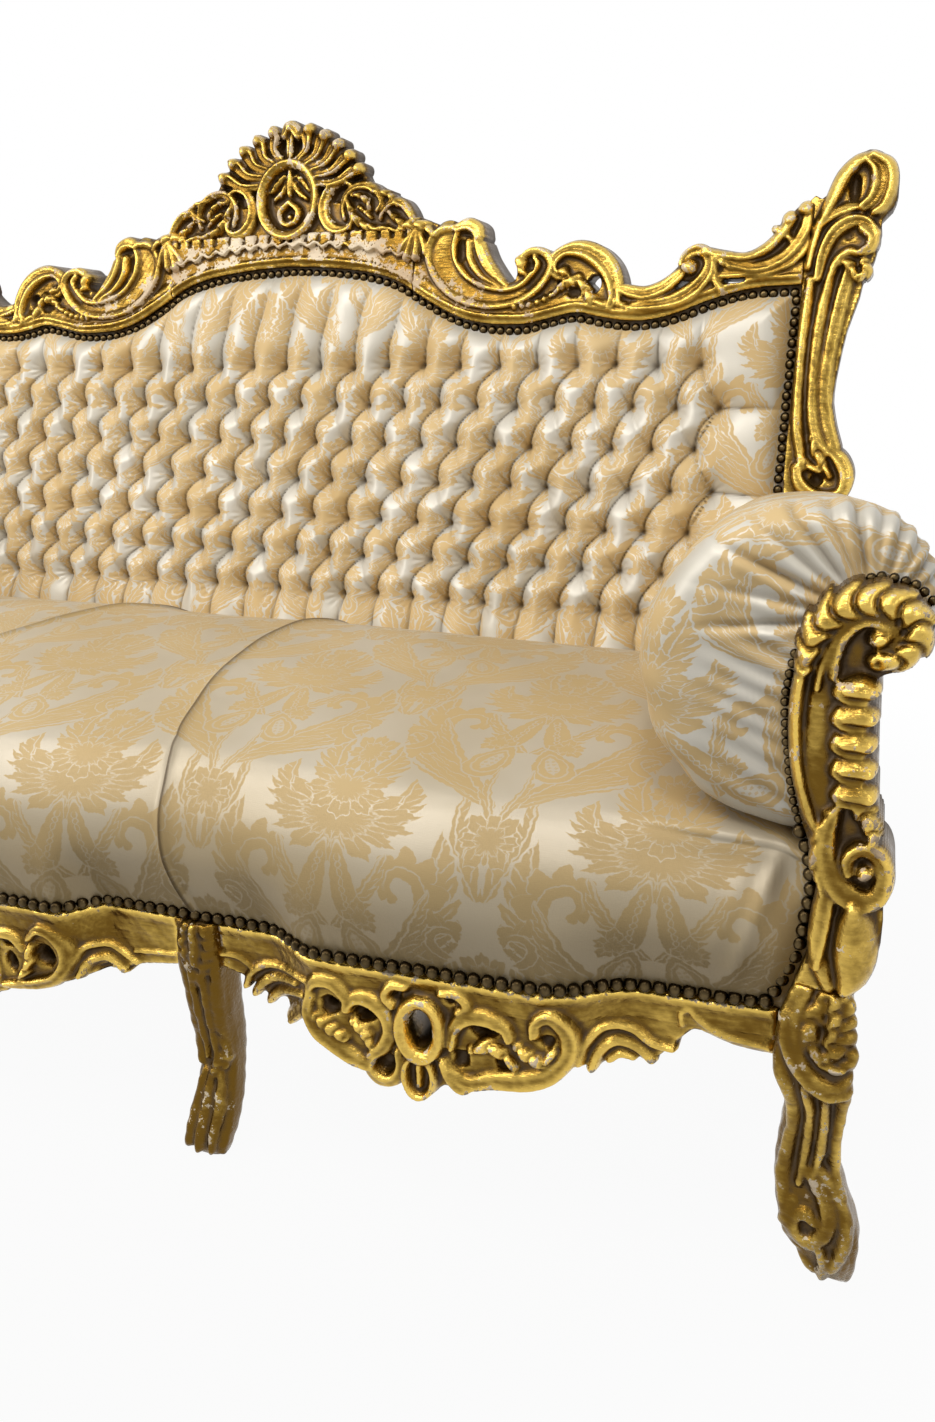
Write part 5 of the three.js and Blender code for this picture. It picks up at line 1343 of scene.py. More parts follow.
# Nails.
NAIL_PITCH = 14.4
NAIL_RADIUS = 7.0
NAIL_CROWN = 6.2
NAIL_SIDES = 12
NAIL_RINGS = ((1.0, -1.5), (1.0, 0.3), (0.93, 2.3), (0.77, 4.0), (0.53, 5.3), (0.26, 6.0))
NAIL_TILT = 0.05
NAIL_STRAY = 0.35
jitter = np.random.default_rng(7)


def unit(vector):
    return vector / np.linalg.norm(vector)


def nails(name, centres, normals, nodes, mirrored=False, sizes=None):
    """Domed nails, each a little off its line as hand-driven nails are."""
    points, faces, crown = [], [], []
    turn = np.linspace(0, 2 * math.pi, NAIL_SIDES, endpoint=False)
    sizes = np.ones(len(centres)) if sizes is None else sizes
    for centre, normal, size in zip(centres, normals, sizes):
        normal = unit(unit(normal) + jitter.normal(0, NAIL_TILT, 3))
        across = unit(np.cross(normal, (0.0, 0.3, 1.0)))
        up = np.cross(normal, across)
        middle = centre + across * jitter.normal(0, NAIL_STRAY) + up * jitter.normal(0, NAIL_STRAY)
        first = len(points)
        for share, rise in NAIL_RINGS:
            ring = across * np.cos(turn)[:, None] + up * np.sin(turn)[:, None]
            points.extend(middle + ring * share * NAIL_RADIUS * size + normal * rise * size)
            crown.extend([rise / NAIL_CROWN * 2 - 1] * NAIL_SIDES)
        points.append(middle + normal * NAIL_CROWN * size)
        crown.append(1.0)
        body = grid_faces(len(NAIL_RINGS), NAIL_SIDES, True)[:, ::-1] + first
        faces.extend(body.tolist())
        last = first + (len(NAIL_RINGS) - 1) * NAIL_SIDES
        top = len(points) - 1
        faces.extend([last + k, last + (k + 1) % NAIL_SIDES, top] for k in range(NAIL_SIDES))
        faces.append([first + k for k in range(NAIL_SIDES)][::-1])
    piece(name, points, faces, BRASS, nodes, "brass", {"relief": crown}, mirrored)


SEAT_NAIL_Z = 307.6
SEAT_NAIL_STAND = 7.0
SEAT_NAIL_REACH = 906.0
BACK_NAIL_INSET = 8.2
BACK_NAIL_SUNK = 2.3
BACK_NAIL_FOOT = 510.0
ARM_NAIL_Y = -383.0
LARGE_NAIL_PATH = [
    (905, 312), (914, 328), (921, 346), (928, 368), (932, 394), (935, 420), (935, 445), (929, 472),
    (921, 488),
]
SMALL_NAIL_PATH = [
    (919, 500), (912, 522), (907, 546), (902, 577), (898.5, 608), (901, 641), (912, 676), (928, 700),
    (948, 715), (969, 721), (991, 716), (1006, 704),
]
SMALL_NAIL = 0.62


def seat_nails():
    x = np.linspace(-SEAT_NAIL_REACH, SEAT_NAIL_REACH, 400)
    spots, along = evenly(np.stack([x, front_y(x) - SEAT_NAIL_STAND], axis=1), NAIL_PITCH)
    centres = np.column_stack([spots, np.full(len(spots), SEAT_NAIL_Z)])
    normals = np.column_stack([along[:, 1], -along[:, 0], np.full(len(spots), 0.1)])
    nails("seat_front_nails", centres, normals, ["seat_nail_strip"])


def back_nails():
    reach = BACK_REACH - BACK_NAIL_INSET
    top = panel_top(STILE_INNER) - BACK_NAIL_INSET
    x = np.linspace(-reach, reach, 300)
    crown = np.column_stack([x, panel_top(x) - BACK_NAIL_INSET])
    left = np.column_stack([np.full(20, -reach), np.linspace(BACK_NAIL_FOOT, top, 20)])[:-1]
    right = left[::-1] * (-1, 1)
    spots, _ = evenly(np.vstack([left, crown, right]), NAIL_PITCH)
    centres = np.column_stack([spots[:, 0], back_y(spots[:, 1]) - BACK_NAIL_SUNK, spots[:, 1]])
    normals = np.tile((0.0, -1.0, LEAN), (len(spots), 1))
    nails("back_edge_nails", centres, normals, ["back_nail_strip"])


def arm_nails():
    large, _ = evenly(through(LARGE_NAIL_PATH, 8), NAIL_PITCH)
    small, _ = evenly(through(SMALL_NAIL_PATH, 8), NAIL_PITCH * SMALL_NAIL)
    spots = np.vstack([large, small])
    sizes = np.concatenate([np.ones(len(large)), np.full(len(small), SMALL_NAIL)])
    centres = np.column_stack([spots[:, 0], np.full(len(spots), ARM_NAIL_Y), spots[:, 1]])
    normals = np.tile((-0.25, -1.0, 0.0), (len(spots), 1))
    for side, mirrored in SIDES:
        nails(f"arm_front_nails_{side}", centres, normals, [f"arm_nail_strip_{side}"], mirrored, sizes)


seat_nails()
back_nails()
arm_nails()


# Seat: three widths of damask drawn over the stuffing.
SEAT_CROWN = 531.0
SEAT_SIDE = 474.0
SEAT_REAR = 262.0
SEAT_HALF_FRONT = 906.0
SEAT_HALF_REAR = 832.0
SEAT_WIDEN = 32.0
SEAT_CORNER_Y = -370.0
SEAT_FRONT_Y = -300.0
SEAT_BULGE = 24.0
# The front roll: share of its height, and how far out it stands as a share of the bulge.
SEAT_ROLL = (
    (0, 0), (0.12, 0.4), (0.3, 0.86), (0.46, 1), (0.64, 0.7), (0.79, -0.15), (0.88, -0.95), (0.94, -2.0),
)
SEAT_TOP = (0.16, 0.28, 0.42, 0.56, 0.72, 0.88, 1)
SEAT_HIGHEST = 0.6
SEAT_END_SHARE = 0.86
SEAT_EDGE_ROLL = 34.0
SEAT_SOFTENED = 130.0
NAILED_EDGE = 3.0
CLOTH_THICKNESS = 2.2
SEAM_PATH = through([
    (0, 0.33), (0.08, 0.307), (0.19, 0.29), (0.33, 0.256), (0.5, 0.222), (0.72, 0.198), (1, 0.192),
], 8)
SEAM_LAP = 0.0009
SEAM_WELT = 4.5
SEAM_RIDGE = 2.2
SEAM_PUCKER = 0.35
SEAM_PULL = 22.0
SEAT_NAILED_Z = 310.0
NAIL_PULL = 1.3
TUCK_X = 866.0
TUCK_Z = 320.0
TUCK_GAP = 31.0


def seat_half_width(y):
    return mix(SEAT_HALF_FRONT, SEAT_HALF_REAR, smooth(SEAT_CORNER_Y, SEAT_REAR, y))


def seat_surface(share):
    """Rows of points over the seat for stations given as shares of its half width."""
    base = RAIL_TOP + 0.3
    side = np.abs(share)
    end = 1 - smooth(1 - SEAT_EDGE_ROLL / SEAT_HALF_FRONT, 1, side)
    front_end = mix(0.97, 1, end)
    rear_end = mix(SEAT_END_SHARE, 1, end)
    crest = mix(SEAT_SIDE, SEAT_CROWN, 1 - 0.5 * side**5)
    x_front = share * SEAT_HALF_FRONT
    nailed = front_y(x_front) + NAILED_EDGE
    offsets = np.linspace(-SEAT_SOFTENED, SEAT_SOFTENED, 13)
    softer = np.mean([front_y(x_front + off) for off in offsets], axis=0) + NAILED_EDGE
    roll_top = crest - (SEAT_CROWN - SEAT_SIDE) / 2
    low = roll_top - SEAT_BULGE
    beside = smooth(0.78, 0.93, side)
    rows = []

    def place(y, z, hold):
        widen = SEAT_WIDEN * smooth(0.86, 1, side) * (1 - smooth(-280, 100, y)) * np.sign(share)
        height = base + (z - base) * mix(rear_end, front_end, hold)
        rows.append(np.stack([share * seat_half_width(y) + widen, y, height], axis=-1))

    for level, out in SEAT_ROLL:
        line = mix(nailed, softer, min(1, level / 0.5))
        held = 1 if out > 0 else 1 - 0.55 * beside
        place(line - out * held * SEAT_BULGE * mix(0.3, 1.1, end), mix(base, roll_top, level), 1)
    for t in SEAT_TOP:
        y = mix(softer + SEAT_BULGE, SEAT_REAR, t)
        rise = (t - SEAT_HIGHEST) / SEAT_HIGHEST
        if rise < 0:
            place(y, mix(crest, low, rise**2 * 0.9), -rise)
        else:
            place(y, mix(crest, SEAT_SIDE, ((t - SEAT_HIGHEST) / (1 - SEAT_HIGHEST)) ** 2), 0)
    return through(np.array(rows), 16)


SEAT_ROWS = np.r_[0:112:3, 112:225]
SEAT_COLUMNS = 170
SEAT_SHARES = np.linspace(-1, 1, 900)


def seat_piece(name, first, last, nodes, mirrored=False):
    """One width of the seat, between two seams given as functions of the depth share."""
    depth = np.linspace(0, 1, len(SEAT_ROWS))
    whole = seat_surface(SEAT_SHARES)[SEAT_ROWS]
    wanted = mix(first(depth)[:, None], last(depth)[:, None], np.linspace(0, 1, SEAT_COLUMNS)[None, :])
    points = np.empty((*wanted.shape, 3))
    for k in range(len(depth)):
        for axis in range(3):
            points[k, :, axis] = np.interp(wanted[k], SEAT_SHARES, whole[k, :, axis])
    normal = grid_normals(points)
    along = np.broadcast_to(walked(points[:, SEAT_COLUMNS // 2])[:, None], wanted.shape)
    x, y, z = points[..., 0], points[..., 1], points[..., 2]
    lift = front_corner_folds(x, y, z)
    fold = np.zeros(wanted.shape)
    for seam in (-1, 1):
        off = np.abs(x - seam * seam_share(depth)[:, None] * seat_half_width(y))
        pucker = np.sin(along / 6.1 + off / 9) * np.exp(-off / SEAM_PULL) * smooth(2, 8, off)
        lift += SEAM_WELT * np.exp(-((off / 3.2) ** 2)) + SEAM_RIDGE * np.exp(-off / 30)
        lift -= SEAM_PUCKER * (1 + 0.5 * np.sin(along / 37)) * pucker
        # Painted shade along each seam, kept as crease.
        fold = np.maximum(fold, 0.9 * np.exp(-((off / 1.5) ** 2)))
    lift -= 1.5 * wobble(x, along, 3.0, 150.0) + 0.4 * wobble(x, along, 5.0, 47.0)
    drawn = np.exp(-np.maximum(z - SEAT_NAILED_Z, 0) / 11) * (y < SEAT_FRONT_Y)
    lift += NAIL_PULL * np.cos(2 * math.pi * x / NAIL_PITCH) * drawn
    points = points + normal * lift[..., None]
    flat, faces = slab(points, points + normal * CLOTH_THICKNESS, False)
    cloth = np.stack([x, along + 40, np.zeros(x.shape)], axis=-1).reshape(-1, 3) * MM
    # Soil browns the whole seat; the darkening towards the bottom of its front is painted shade under the
    # roll.
    low = 1 - smooth(320, 500, z)
    soil_and_shade = 0.5 + 0.5 * low * (y < SEAT_FRONT_Y) + 0.12 * wobble(x, along, 8.0, 110.0)
    attributes = {
        "cloth": np.vstack([cloth, cloth]),
        "crease": np.tile(fold.ravel(), 2),
        "soil_and_shade": np.tile(np.clip(soil_and_shade, 0, 1).ravel(), 2),
    }
    cover = piece(name, flat, faces, SILK, nodes, "damask", attributes, mirrored)


def seam_share(depth):
    return np.interp(depth, SEAM_PATH[:, 0], SEAM_PATH[:, 1])


def front_corner_folds(x, y, z):
    """The tuck at each front corner, where the cloth turns back towards the arm."""
    near = smooth(800, 890, np.abs(x)) * (1 - smooth(-350, -290, y))
    first = np.abs(x) - (TUCK_X + 0.28 * (z - TUCK_Z))
    second = np.abs(x) - (TUCK_X - TUCK_GAP + 0.35 * (z - TUCK_Z))
    fold = 3.5 * np.exp(-((first / 6) ** 2)) - 3 * np.exp(-(((first - 18) / 12) ** 2))
    fold += 1.5 * np.exp(-((second / 9) ** 2))
    return near * fold * smooth(312, 350, z) * (1 - smooth(430, 475, z))


def left_lap(depth):
    return -seam_share(depth) - SEAM_LAP


def right_lap(depth):
    return seam_share(depth) + SEAM_LAP


seat_piece("seat_cover_middle", left_lap, right_lap, ["seat_cover_centre"])
for side, mirrored in SIDES:
    seat_piece(f"seat_cover_side_{side}", seam_share, np.ones_like, [f"seat_cover_{side}"], mirrored)


# Tufted back.
BUTTON_PITCH = 63.0
ROW_PITCH = 60.5
TOP_ROW = 899.0
BUTTON_ROWS = 7
TUFT_COLUMNS = 620
TUFT_LINES = 224
LAST_EVEN = 11.0
LAST_ODD = 11.5
PAD_EDGE = 2.0
PAD_REAR = 10.0
PAD_REVEAL = -2.0
SIDE_PLEAT = 30.0
EDGE_TUCK = 14.0
DIMPLE_DEPTH = 7.0
DIMPLE_WIDTH = 6.5
PINCH_RISE = 16.0
PINCH_WIDTH = 23.0
PUFF_RISE = 18.0
FOLD_WIDTH = 1.7
CROSS_FOLD_WIDTH = 2.4
CLOTH_TAKEN_UP = 1.12
CLOTH_TAKEN_UP_DOWN = 1.06
CLOTH_START = 30.0


def tuft_surface(x, z, top):
    """How far the tufted pad stands off the back's plane, and how much painted shade each place takes in
    folds, round buttons and at the edges.
    """
    z = z + 2.2 * wobble(x, z, 9.0, 47.0)
    row = (z - TOP_ROW) / ROW_PITCH
    held = np.clip(row, 1 - BUTTON_ROWS, 0)
    lean = 0.25 * (1 - smooth(120, 640, np.abs(x)) * 0.85)
    slid = x - lean * np.clip(z - TOP_ROW, 0, None) + 3.2 * wobble(z, x, 12.0, 41.0)
    column = slid / BUTTON_PITCH
    nearest = np.full(x.shape, FAR)
    turn = np.zeros(x.shape)
    for line in (np.floor(held), np.ceil(held)):
        odd = np.mod(line, 2) != 0
        reach = np.where(odd, LAST_ODD, LAST_EVEN)
        spot = np.where(odd, np.floor(column) + 0.5, np.round(column))
        spot = np.clip(spot, -reach, reach)
        dx, dz = slid - spot * BUTTON_PITCH, z - TOP_ROW - line * ROW_PITCH
        away = np.hypot(dx, dz)
        turn = np.where(away < nearest, np.arctan2(dz, dx), turn)
        nearest = np.minimum(nearest, away)
    pinch = 1 - np.exp(-((nearest / PINCH_WIDTH) ** 2))
    dimple = np.exp(-((nearest / DIMPLE_WIDTH) ** 2))
    step = np.mod(held, 1)
    level = np.floor(held)
    a = np.mod(column + (level + step**0.8) / 2, 1)
    b = np.mod(column - (level + step**1.9) / 2, 1)
    puff = np.sin(math.pi * b**1.25) ** 0.26 * (0.5 + 0.5 * np.sin(math.pi * a) ** 0.5)
    fold_gap = np.minimum(b, 1 - b) * BUTTON_PITCH
    cross_gap = np.minimum(a, 1 - a) * BUTTON_PITCH
    zigzag = BUTTON_PITCH * (LAST_EVEN + 0.5 * (1 - np.abs(np.mod(held, 2) - 1)))
    beyond = np.abs(x) - zigzag
    band = np.abs(np.sin(math.pi * (held + 1) / 2))
    line_gap = np.abs(np.mod(held, 2) - 1) * ROW_PITCH
    side_puff = band**0.4 * np.sqrt(1 - np.exp(-np.clip(beyond, 0, None) / 14))
    outer = beyond > 0
    puff = np.where(outer, side_puff, puff)
    height = PAD_EDGE - DIMPLE_DEPTH * dimple + PINCH_RISE * pinch + PUFF_RISE * puff
    height += 1.3 * np.sin(11 * turn + 2 * column) * np.exp(-(((nearest - 13) / 8) ** 2))
    height += 1.2 * wobble(x, z, 6.0, 33.0)
    edge = np.minimum(BACK_REACH - np.abs(x), top - z)
    gather = 1 - np.exp(-np.clip(edge - EDGE_TUCK, 0, None) / 12)
    # Painted shade: dark lines in the folds, round the buttons and along the pad's edges.
    fold = np.exp(-((fold_gap / FOLD_WIDTH) ** 2)) * 0.85
    cross_fold_shade = np.exp(-((cross_gap / CROSS_FOLD_WIDTH) ** 2)) * np.exp(-((nearest / 20) ** 2))
    fold = np.maximum(fold, 0.5 * cross_fold_shade)
    side_fold_shade = np.exp(-((line_gap / 2.0) ** 2)) * np.exp(-((beyond - SIDE_PLEAT) / 60) ** 2) * 0.7
    fold = np.where(outer, np.where(held > -0.02, 0, side_fold_shade), fold)
    fold = np.maximum(fold, np.exp(-((nearest / 5.8) ** 2)))
    fold = fold * (1 - 0.7 * smooth(TOP_ROW, TOP_ROW + 130, z)) * smooth(6, 24, edge)
    fold = np.maximum(fold, 1 - smooth(6, 16, edge))
    return PAD_EDGE + (height - PAD_EDGE) * gather, np.clip(fold, 0, 1)


def tufted_back():
    x_line = np.linspace(-BACK_REACH, BACK_REACH, TUFT_COLUMNS)
    share = np.linspace(0, 1, TUFT_LINES)
    x = np.broadcast_to(x_line[:, None], (TUFT_COLUMNS, TUFT_LINES))
    top = (panel_top(x_line) - PAD_REVEAL)[:, None]
    z = mix(BACK_FOOT, top, share[None, :])
    height, fold = tuft_surface(x, z, top)
    front = np.stack([x, back_y(z) - height, z], axis=-1)
    rear = np.stack([x, back_y(z) + PAD_REAR, z], axis=-1)
    rim = rim_of(x.shape)
    points = np.vstack([front.reshape(-1, 3), rear.reshape(-1, 3)[rim]])
    edge = x.size + np.arange(len(rim))
    walls = np.stack([np.roll(rim, -1), rim, edge, np.roll(edge, -1)], axis=1)
    faces = np.vstack([grid_faces(TUFT_COLUMNS, TUFT_LINES), walls])
    steps = np.diff(height, axis=0, prepend=height[:1]) / (x_line[1] - x_line[0])
    drawn = np.cumsum(np.hypot(1, steps), axis=0)
    drawn = (drawn / drawn[-1:] - 0.5) * 2 * BACK_REACH * CLOTH_TAKEN_UP
    across = mix(x * CLOTH_TAKEN_UP, drawn, 0.5) + CLOTH_START
    cloth = np.stack([across, z * CLOTH_TAKEN_UP_DOWN, 0 * z], axis=-1).reshape(-1, 3) * MM
    attributes = {
        "cloth": np.vstack([cloth, cloth[rim]]),
        "crease": np.concatenate([fold.ravel(), fold.ravel()[rim]]),
    }
    pad = piece("tufted_back", points, faces, SILK, ["tufted_back_pad"], "damask", attributes)


tufted_back()


# Rolled arms.
ARM_OUTLINE = [
    (926, 477), (870, 480), (822, 502), (790, 538), (770, 575), (760, 630), (765, 665), (779, 695),
    (797, 725), (822, 752), (850, 768), (884, 777), (932, 781), (972, 772), (998, 751), (1014, 724),
    (1014, 692), (996, 672), (964, 666), (936, 662), (932, 620), (930, 550),
]
ARM_FRONT = -374.0
ARM_ROUND = 52.0
ARM_X = 940.0
ROLL_Z = 640.0
ARM_BOTTOM = 477.0
ARM_TOP = 776.0
ARM_SHIFT = -46.0
ARM_DROP = 48.0
SCROLL = (962.0, 683.0)
ARM_PLEATS = ((187, 0.8), (172, 0.5), (157, 1.1), (143, 0.6), (130, 1.0), (116, 0.7), (103, 1.2), (90, 0.6),
              (77, 1.0), (64, 0.7), (51, 1.0), (38, 0.6))
ARM_SIDES = 260
ARM_STEPS = 90
ARM_POST_GAP = 42.0
ARM_LENGTH = back_y(ARM_BOTTOM) - ARM_POST_GAP - ARM_FRONT
ARM_REAR_GAP = 14.0
ARM_DISH = 5.0
ARM_FACE = np.linspace(0.1, 0.74, 26)
# The rounded front edge: share of the roll's outline, and share of the rounding's depth.
ARM_EDGE = ((0.74, 0), (0.88, 0.14), (0.96, 0.45), (1.0, 1))
ARM_MIDDLE = 60


def arm_place(x, y, z):
    """Brings the arm in and down towards the back."""
    t = (y - ARM_FRONT) / ARM_LENGTH
    drop = ARM_DROP * t * np.maximum(0, (z - ARM_BOTTOM) / (ARM_TOP - ARM_BOTTOM))
    return np.stack([x + ARM_SHIFT * t, y, z - drop], axis=-1)


def arm_rows():
    """The rolled arm's rings, from the middle of its face to the back."""
    contour, _ = evenly(round_closed(ARM_OUTLINE, 10), 2.6)
    walk = np.linspace(0, len(contour) - 1, ARM_SIDES, endpoint=False)
    ring = np.stack([np.interp(walk, np.arange(len(contour)), column) for column in contour.T], axis=1)
    face = np.stack([ARM_FACE, -ARM_DISH * (1 - (ARM_FACE / ARM_FACE[-1]) ** 2)], axis=1)
    edge = through(ARM_EDGE, 6)[1:] * (1, ARM_ROUND)
    rows = []
    for scale, back in np.vstack([face, edge]):
        y = np.full(ARM_SIDES, ARM_FRONT + back)
        rows.append(arm_place(mix(ARM_X, ring[:, 0], scale), y, mix(ROLL_Z, ring[:, 1], scale)))
    for t in np.linspace(0, 1, ARM_STEPS)[1:]:
        y = mix(ARM_FRONT + ARM_ROUND, back_y(ring[:, 1]) - ARM_REAR_GAP, t)
        rows.append(arm_place(ring[:, 0], y, ring[:, 1]))
    return ring, np.array(rows)


def arm_pad():
    ring, points = arm_rows()
    normal = grid_normals(points, True)
    x, y, z = points[..., 0], points[..., 1], points[..., 2]
    angle = np.degrees(np.arctan2(z - SCROLL[1], x - SCROLL[0])) % 360
    radius = np.hypot(x - SCROLL[0], z - SCROLL[1])
    front = 1 - smooth(ARM_FRONT + 20, ARM_FRONT + 95, y)
    fade = front * (1 - smooth(75, 175, radius)) * smooth(20, 50, radius)
    lift = np.zeros(x.shape)
    fold = np.zeros(x.shape)
    for pleat, strength in ARM_PLEATS:
        off = np.radians((angle - pleat + 180) % 360 - 180) * radius
        valley, crown = np.exp(-((off / 4.2) ** 2)), np.exp(-(((off - 9) / 6) ** 2))
        lift += fade * strength * (2.6 * crown - 6.5 * valley)
        # Painted shade in each pleat's valley, kept as crease.
        fold = np.maximum(fold, 0.6 * fade * strength * np.exp(-((off / 1.8) ** 2)))
    pulled = smooth(800, 892, x) * front * (1 - smooth(650, 700, z)) * smooth(485, 520, z)
    lift += 2.0 * pulled * np.sin((z + 0.4 * x) / 3.5 + 1.3 * np.sin(z / 24))
    inner = smooth(0.0, 0.6, -normal[..., 0]) * (1 - smooth(600, 660, z))
    crease = np.sin((z - 0.25 * (y - ARM_FRONT)) / 9.5 + 1.4 * np.sin(y / 60)) * inner
    lift += 1.5 * crease * (1 - smooth(ARM_FRONT + 60, ARM_FRONT + 230, y))
    lift += 1.8 * wobble(y, x + z, 2.0, 70.0) + 0.5 * wobble(y, x - z, 4.0, 24.0)
    points = points + normal * lift[..., None]
    faces = grid_faces(len(points), ARM_SIDES, True)[:, ::-1].tolist()
    faces.append(list(range(ARM_SIDES)))
    faces.append(list(range((len(points) - 1) * ARM_SIDES, len(points) * ARM_SIDES))[::-1])
    around, depth = walked(ring), walked(points[:, ARM_MIDDLE])
    cloth = np.stack(np.broadcast_arrays(depth[:, None], around[None, :], 0.0), axis=-1).reshape(-1, 3) * MM
    attributes = {"cloth": cloth, "crease": np.clip(fold, 0, 1).ravel()}
    both_sides("rolled_arm", points.reshape(-1, 3), faces, SILK, ["arm_pad"], "damask", attributes,
               lambda shape: shape)


arm_pad()


# Outside cloths and the dust cover.
def cloth_sheet(grid, thickness, push):
    """A thin closed sheet over a grid of points; push is the way to its back."""
    normal = np.cross(grid[1, 0] - grid[0, 0], grid[0, 1] - grid[0, 0])
    points, faces = slab(grid, grid + np.array(push, float) * thickness, np.dot(normal, push) > 0)
    u, v = np.zeros(grid.shape[:2]), np.zeros(grid.shape[:2])
    u[1:] = np.cumsum(np.linalg.norm(np.diff(grid, axis=0), axis=2), axis=0)
    v[:, 1:] = np.cumsum(np.linalg.norm(np.diff(grid, axis=1), axis=2), axis=1)
    cloth = np.stack([u, v, 0 * u], axis=-1).reshape(-1, 3) * MM
    size = (float(u[-1].max()) * MM, float(v.max()) * MM)
    cells = np.cross(grid[1:, :-1] - grid[:-1, :-1], grid[:-1, 1:] - grid[:-1, :-1])
    area = float(np.sum(np.linalg.norm(cells, axis=2))) * MM * MM
    return points, faces, {"cloth": np.vstack([cloth, cloth])}, size, min(area, size[0] * size[1])


COVER_THICKNESS = 2.0
OUTSIDE_BACK_FOOT = 235.0
OUTSIDE_BACK_REACH = 825.0
OUTSIDE_BACK_STAND = 40.5
OUTSIDE_BACK_GAP = 3.0
OUTSIDE_ARM_X = 969.5
OUTSIDE_ARM_FRONT = -343.7
OUTSIDE_ARM_FOOT = 300.5
OUTSIDE_ARM_TOP = 656.0
COVER_HOLLOW = 2.0
COVER_HEIGHT = OUTSIDE_ARM_TOP - RAIL_TOP
DUST_REACH = 837.0
DUST_REAR = 249.0
DUST_LEVEL = 231.0
DUST_FRONT_GAP = 42.0
DUST_THICKNESS = 1.5
DUST_SAG = 3.0


def outside_back():
    reach = OUTSIDE_BACK_REACH
    x_line = np.linspace(-reach, reach, 160)
    share = np.linspace(0, 1, 90)
    top = (panel_top(x_line) - OUTSIDE_BACK_GAP)[:, None]
    z = mix(OUTSIDE_BACK_FOOT, top, share[None, :])
    x = np.broadcast_to(x_line[:, None], z.shape)
    hollow = np.sin(math.pi * (x + reach) / (2 * reach)) * np.sin(math.pi * share)[None, :]
    foot, head = back_y(np.array(OUTSIDE_BACK_FOOT)), back_y(top)
    y = mix(foot, head, share[None, :]) + OUTSIDE_BACK_STAND - hollow
    grid = np.stack([x, y + 0.4 * wobble(x, z, 1.0, 90.0), z], axis=-1)
    points, faces, attributes, size, area = cloth_sheet(grid, COVER_THICKNESS, (0, -1, 0))
    sheet = piece("outside_back_cloth", points, faces, SILK, ["outside_back_cover"], "damask", attributes)


def outside_arm():
    depth = np.linspace(0, 1, 90)[:, None]
    z = np.broadcast_to(np.linspace(OUTSIDE_ARM_FOOT, OUTSIDE_ARM_TOP, 70)[None, :], (90, 70))
    hollow = COVER_HOLLOW * np.sin(math.pi * depth) * np.sin(math.pi * (z - RAIL_TOP) / COVER_HEIGHT)
    grid = arm_place(OUTSIDE_ARM_X - hollow, mix(OUTSIDE_ARM_FRONT, back_y(z), depth), z)
    points, faces, attributes, size, area = cloth_sheet(grid, COVER_THICKNESS, (-1, 0, 0))
    both_sides("outside_arm_cloth", points, faces, SILK, ["outside_arm_cover"], "damask", attributes,
               lambda shape: shape)


def dust_sheet():
    x_line = np.linspace(-DUST_REACH, DUST_REACH, 150)
    share = np.linspace(0, 1, 60)
    front = front_y(x_line) + APRON_DEPTH + DUST_FRONT_GAP
    y = mix(front[:, None], DUST_REAR, share[None, :])
    x = np.broadcast_to(x_line[:, None], y.shape)
    sag = DUST_SAG * np.sin(math.pi * share)[None, :] * (1 - (x / 840) ** 4)
    grid = np.stack([x, y, DUST_LEVEL - sag - 0.48 * wobble(x, y, 2.0, 60.0)], axis=-1)
    points, faces, attributes, size, area = cloth_sheet(grid, DUST_THICKNESS, (0, 0, 1))
    sheet = piece("dust_cloth", points, faces, DUST, ["dust_cover"], "jute", attributes)


outside_back()
outside_arm()
dust_sheet()


# What no piece stands for keeps its shape and takes the finish of its slot.
SLOT_FINISHES = {"bare_wood": BEECH, "jute": JUTE, "wadding": WADDING, "gilding": GILT}
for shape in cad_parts.values():
    slot = shape.data.materials[0].name.split(".")[0]
    if slot in SLOT_FINISHES:
        shape.material_slots[0].material = SLOT_FINISHES[slot]


# Room.
FLOOR_HALF = 9.0
FLOOR_GREY = (0.3, 0.3, 0.3, 1)
WHITE = (1, 1, 1, 1)
SHADOW_NEAR = 0.9
SHADOW_FAR = 2.2
SHADOWED = 0.95
ROOM_LIGHT = 0.2


def floor_finish():
    """White to the eye, save for the object's shadow near it, and a plain grey as a light."""
    material = bpy.data.materials.new("white_floor")
    material.use_nodes = True
    nodes = Nodes(material.node_tree)
    nodes.tree.nodes.clear()
    away = nodes.node("ShaderNodeVectorMath", {"operation": "LENGTH"}, {0: nodes.position()}, "Value")
    spread = nodes.node("ShaderNodeMapRange", values={
        "Value": away, "From Min": SHADOW_NEAR, "From Max": SHADOW_FAR, "To Min": SHADOWED, "To Max": 1.0,
    })
    matt = nodes.node("ShaderNodeBsdfDiffuse", values={"Color": FLOOR_GREY})
    glow = nodes.node("ShaderNodeEmission", values={"Color": WHITE})
    share = nodes.background_seen() * spread
    surface = nodes.node("ShaderNodeMixShader", values={"Fac": share, 1: matt, 2: glow})
    nodes.node("ShaderNodeOutputMaterial", values={"Surface": surface})
    return material


def floor():
    mesh = bpy.data.meshes.new("floor")
    f = FLOOR_HALF
    mesh.from_pydata([(-f, -f, 0), (f, -f, 0), (f, f, 0), (-f, f, 0)], [], [(0, 1, 2, 3)])
    mesh.materials.append(floor_finish())
    plane = bpy.data.objects.new("floor", mesh)
    bpy.context.scene.collection.objects.link(plane)


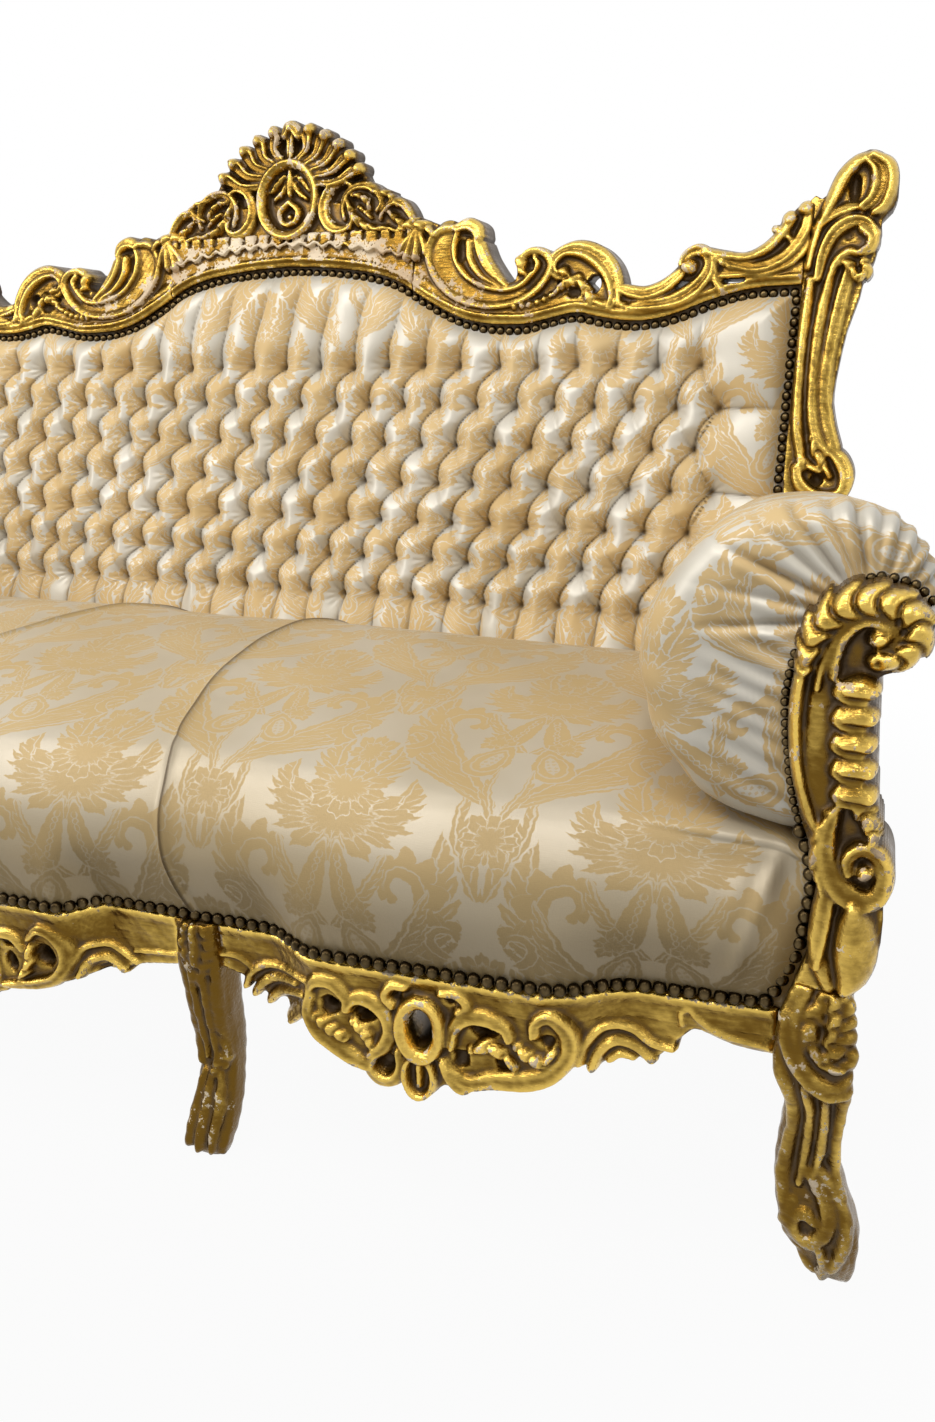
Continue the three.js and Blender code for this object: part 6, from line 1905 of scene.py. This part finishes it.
def room_light():
    """A white surround to the eye and in reflections, and a softer one as a light."""
    world = bpy.data.worlds.new("white_room")
    bpy.context.scene.world = world
    world.use_nodes = True
    nodes = Nodes(world.node_tree)
    nodes.tree.nodes.clear()
    values = {"Value": nodes.background_seen(), "To Min": ROOM_LIGHT, "To Max": 1.0}
    level = nodes.node("ShaderNodeMapRange", values=values)
    surround = nodes.node("ShaderNodeBackground", values={"Color": WHITE, "Strength": level})
    nodes.node("ShaderNodeOutputWorld", values={"Surface": surround})


# Lamps: name, place, where they point, width and height, watts and colour.
LAMPS = (
    ("ceiling", (0.0, -0.95, 2.25), (0.2, 0.1, 0.6), (2.6, 1.0), 28, (1.0, 0.97, 0.92)),
    ("downlight_left", (-0.5, -1.1, 2.3), (0.1, 0.1, 0.6), (0.14, 0.14), 4.5, (1.0, 0.96, 0.9)),
    ("downlight_right", (0.9, -1.2, 2.3), (0.6, 0.1, 0.6), (0.14, 0.14), 4.5, (1.0, 0.96, 0.9)),
    ("shop_front", (-1.6, -2.4, 2.9), (0.4, 0, 0.6), (1.4, 1.0), 10, (1.0, 0.98, 0.95)),
    ("left_window", (-1.9, -1.3, 1.5), (0.8, -0.1, 0.65), (0.8, 1.0), 20, (1.0, 0.98, 0.95)),
    ("window", (3.2, -1.4, 2.2), (0.6, 0, 0.5), (0.9, 1.3), 9, (0.96, 0.98, 1.0)),
)
EYE = (0.954, -1.3037, 0.87)
EYE_DOWN = 16.94
EYE_TURN = 20.66
LENS = 27.0
SENSOR = 36.0


def lamp(name, place, aim, size, watts, colour):
    data = bpy.data.lights.new(name, "AREA")
    data.shape = "RECTANGLE"
    data.size, data.size_y = size
    data.energy = watts
    data.color = colour
    light = bpy.data.objects.new(name, data)
    light.location = place
    x, y, z = np.array(place) - np.array(aim)
    light.rotation_euler = (math.atan2(math.hypot(x, y), z), 0, math.atan2(x, -y))
    bpy.context.scene.collection.objects.link(light)


def camera():
    data = bpy.data.cameras.new("camera")
    data.sensor_width = SENSOR
    data.lens = LENS
    eye = bpy.data.objects.new("camera", data)
    eye.location = EYE
    eye.rotation_euler = (math.radians(90 - EYE_DOWN), 0, math.radians(EYE_TURN))
    bpy.context.scene.collection.objects.link(eye)
    bpy.context.scene.camera = eye


floor()
room_light()
for row in LAMPS:
    lamp(*row)
camera()
bpy.context.scene.view_settings.view_transform = "Standard"
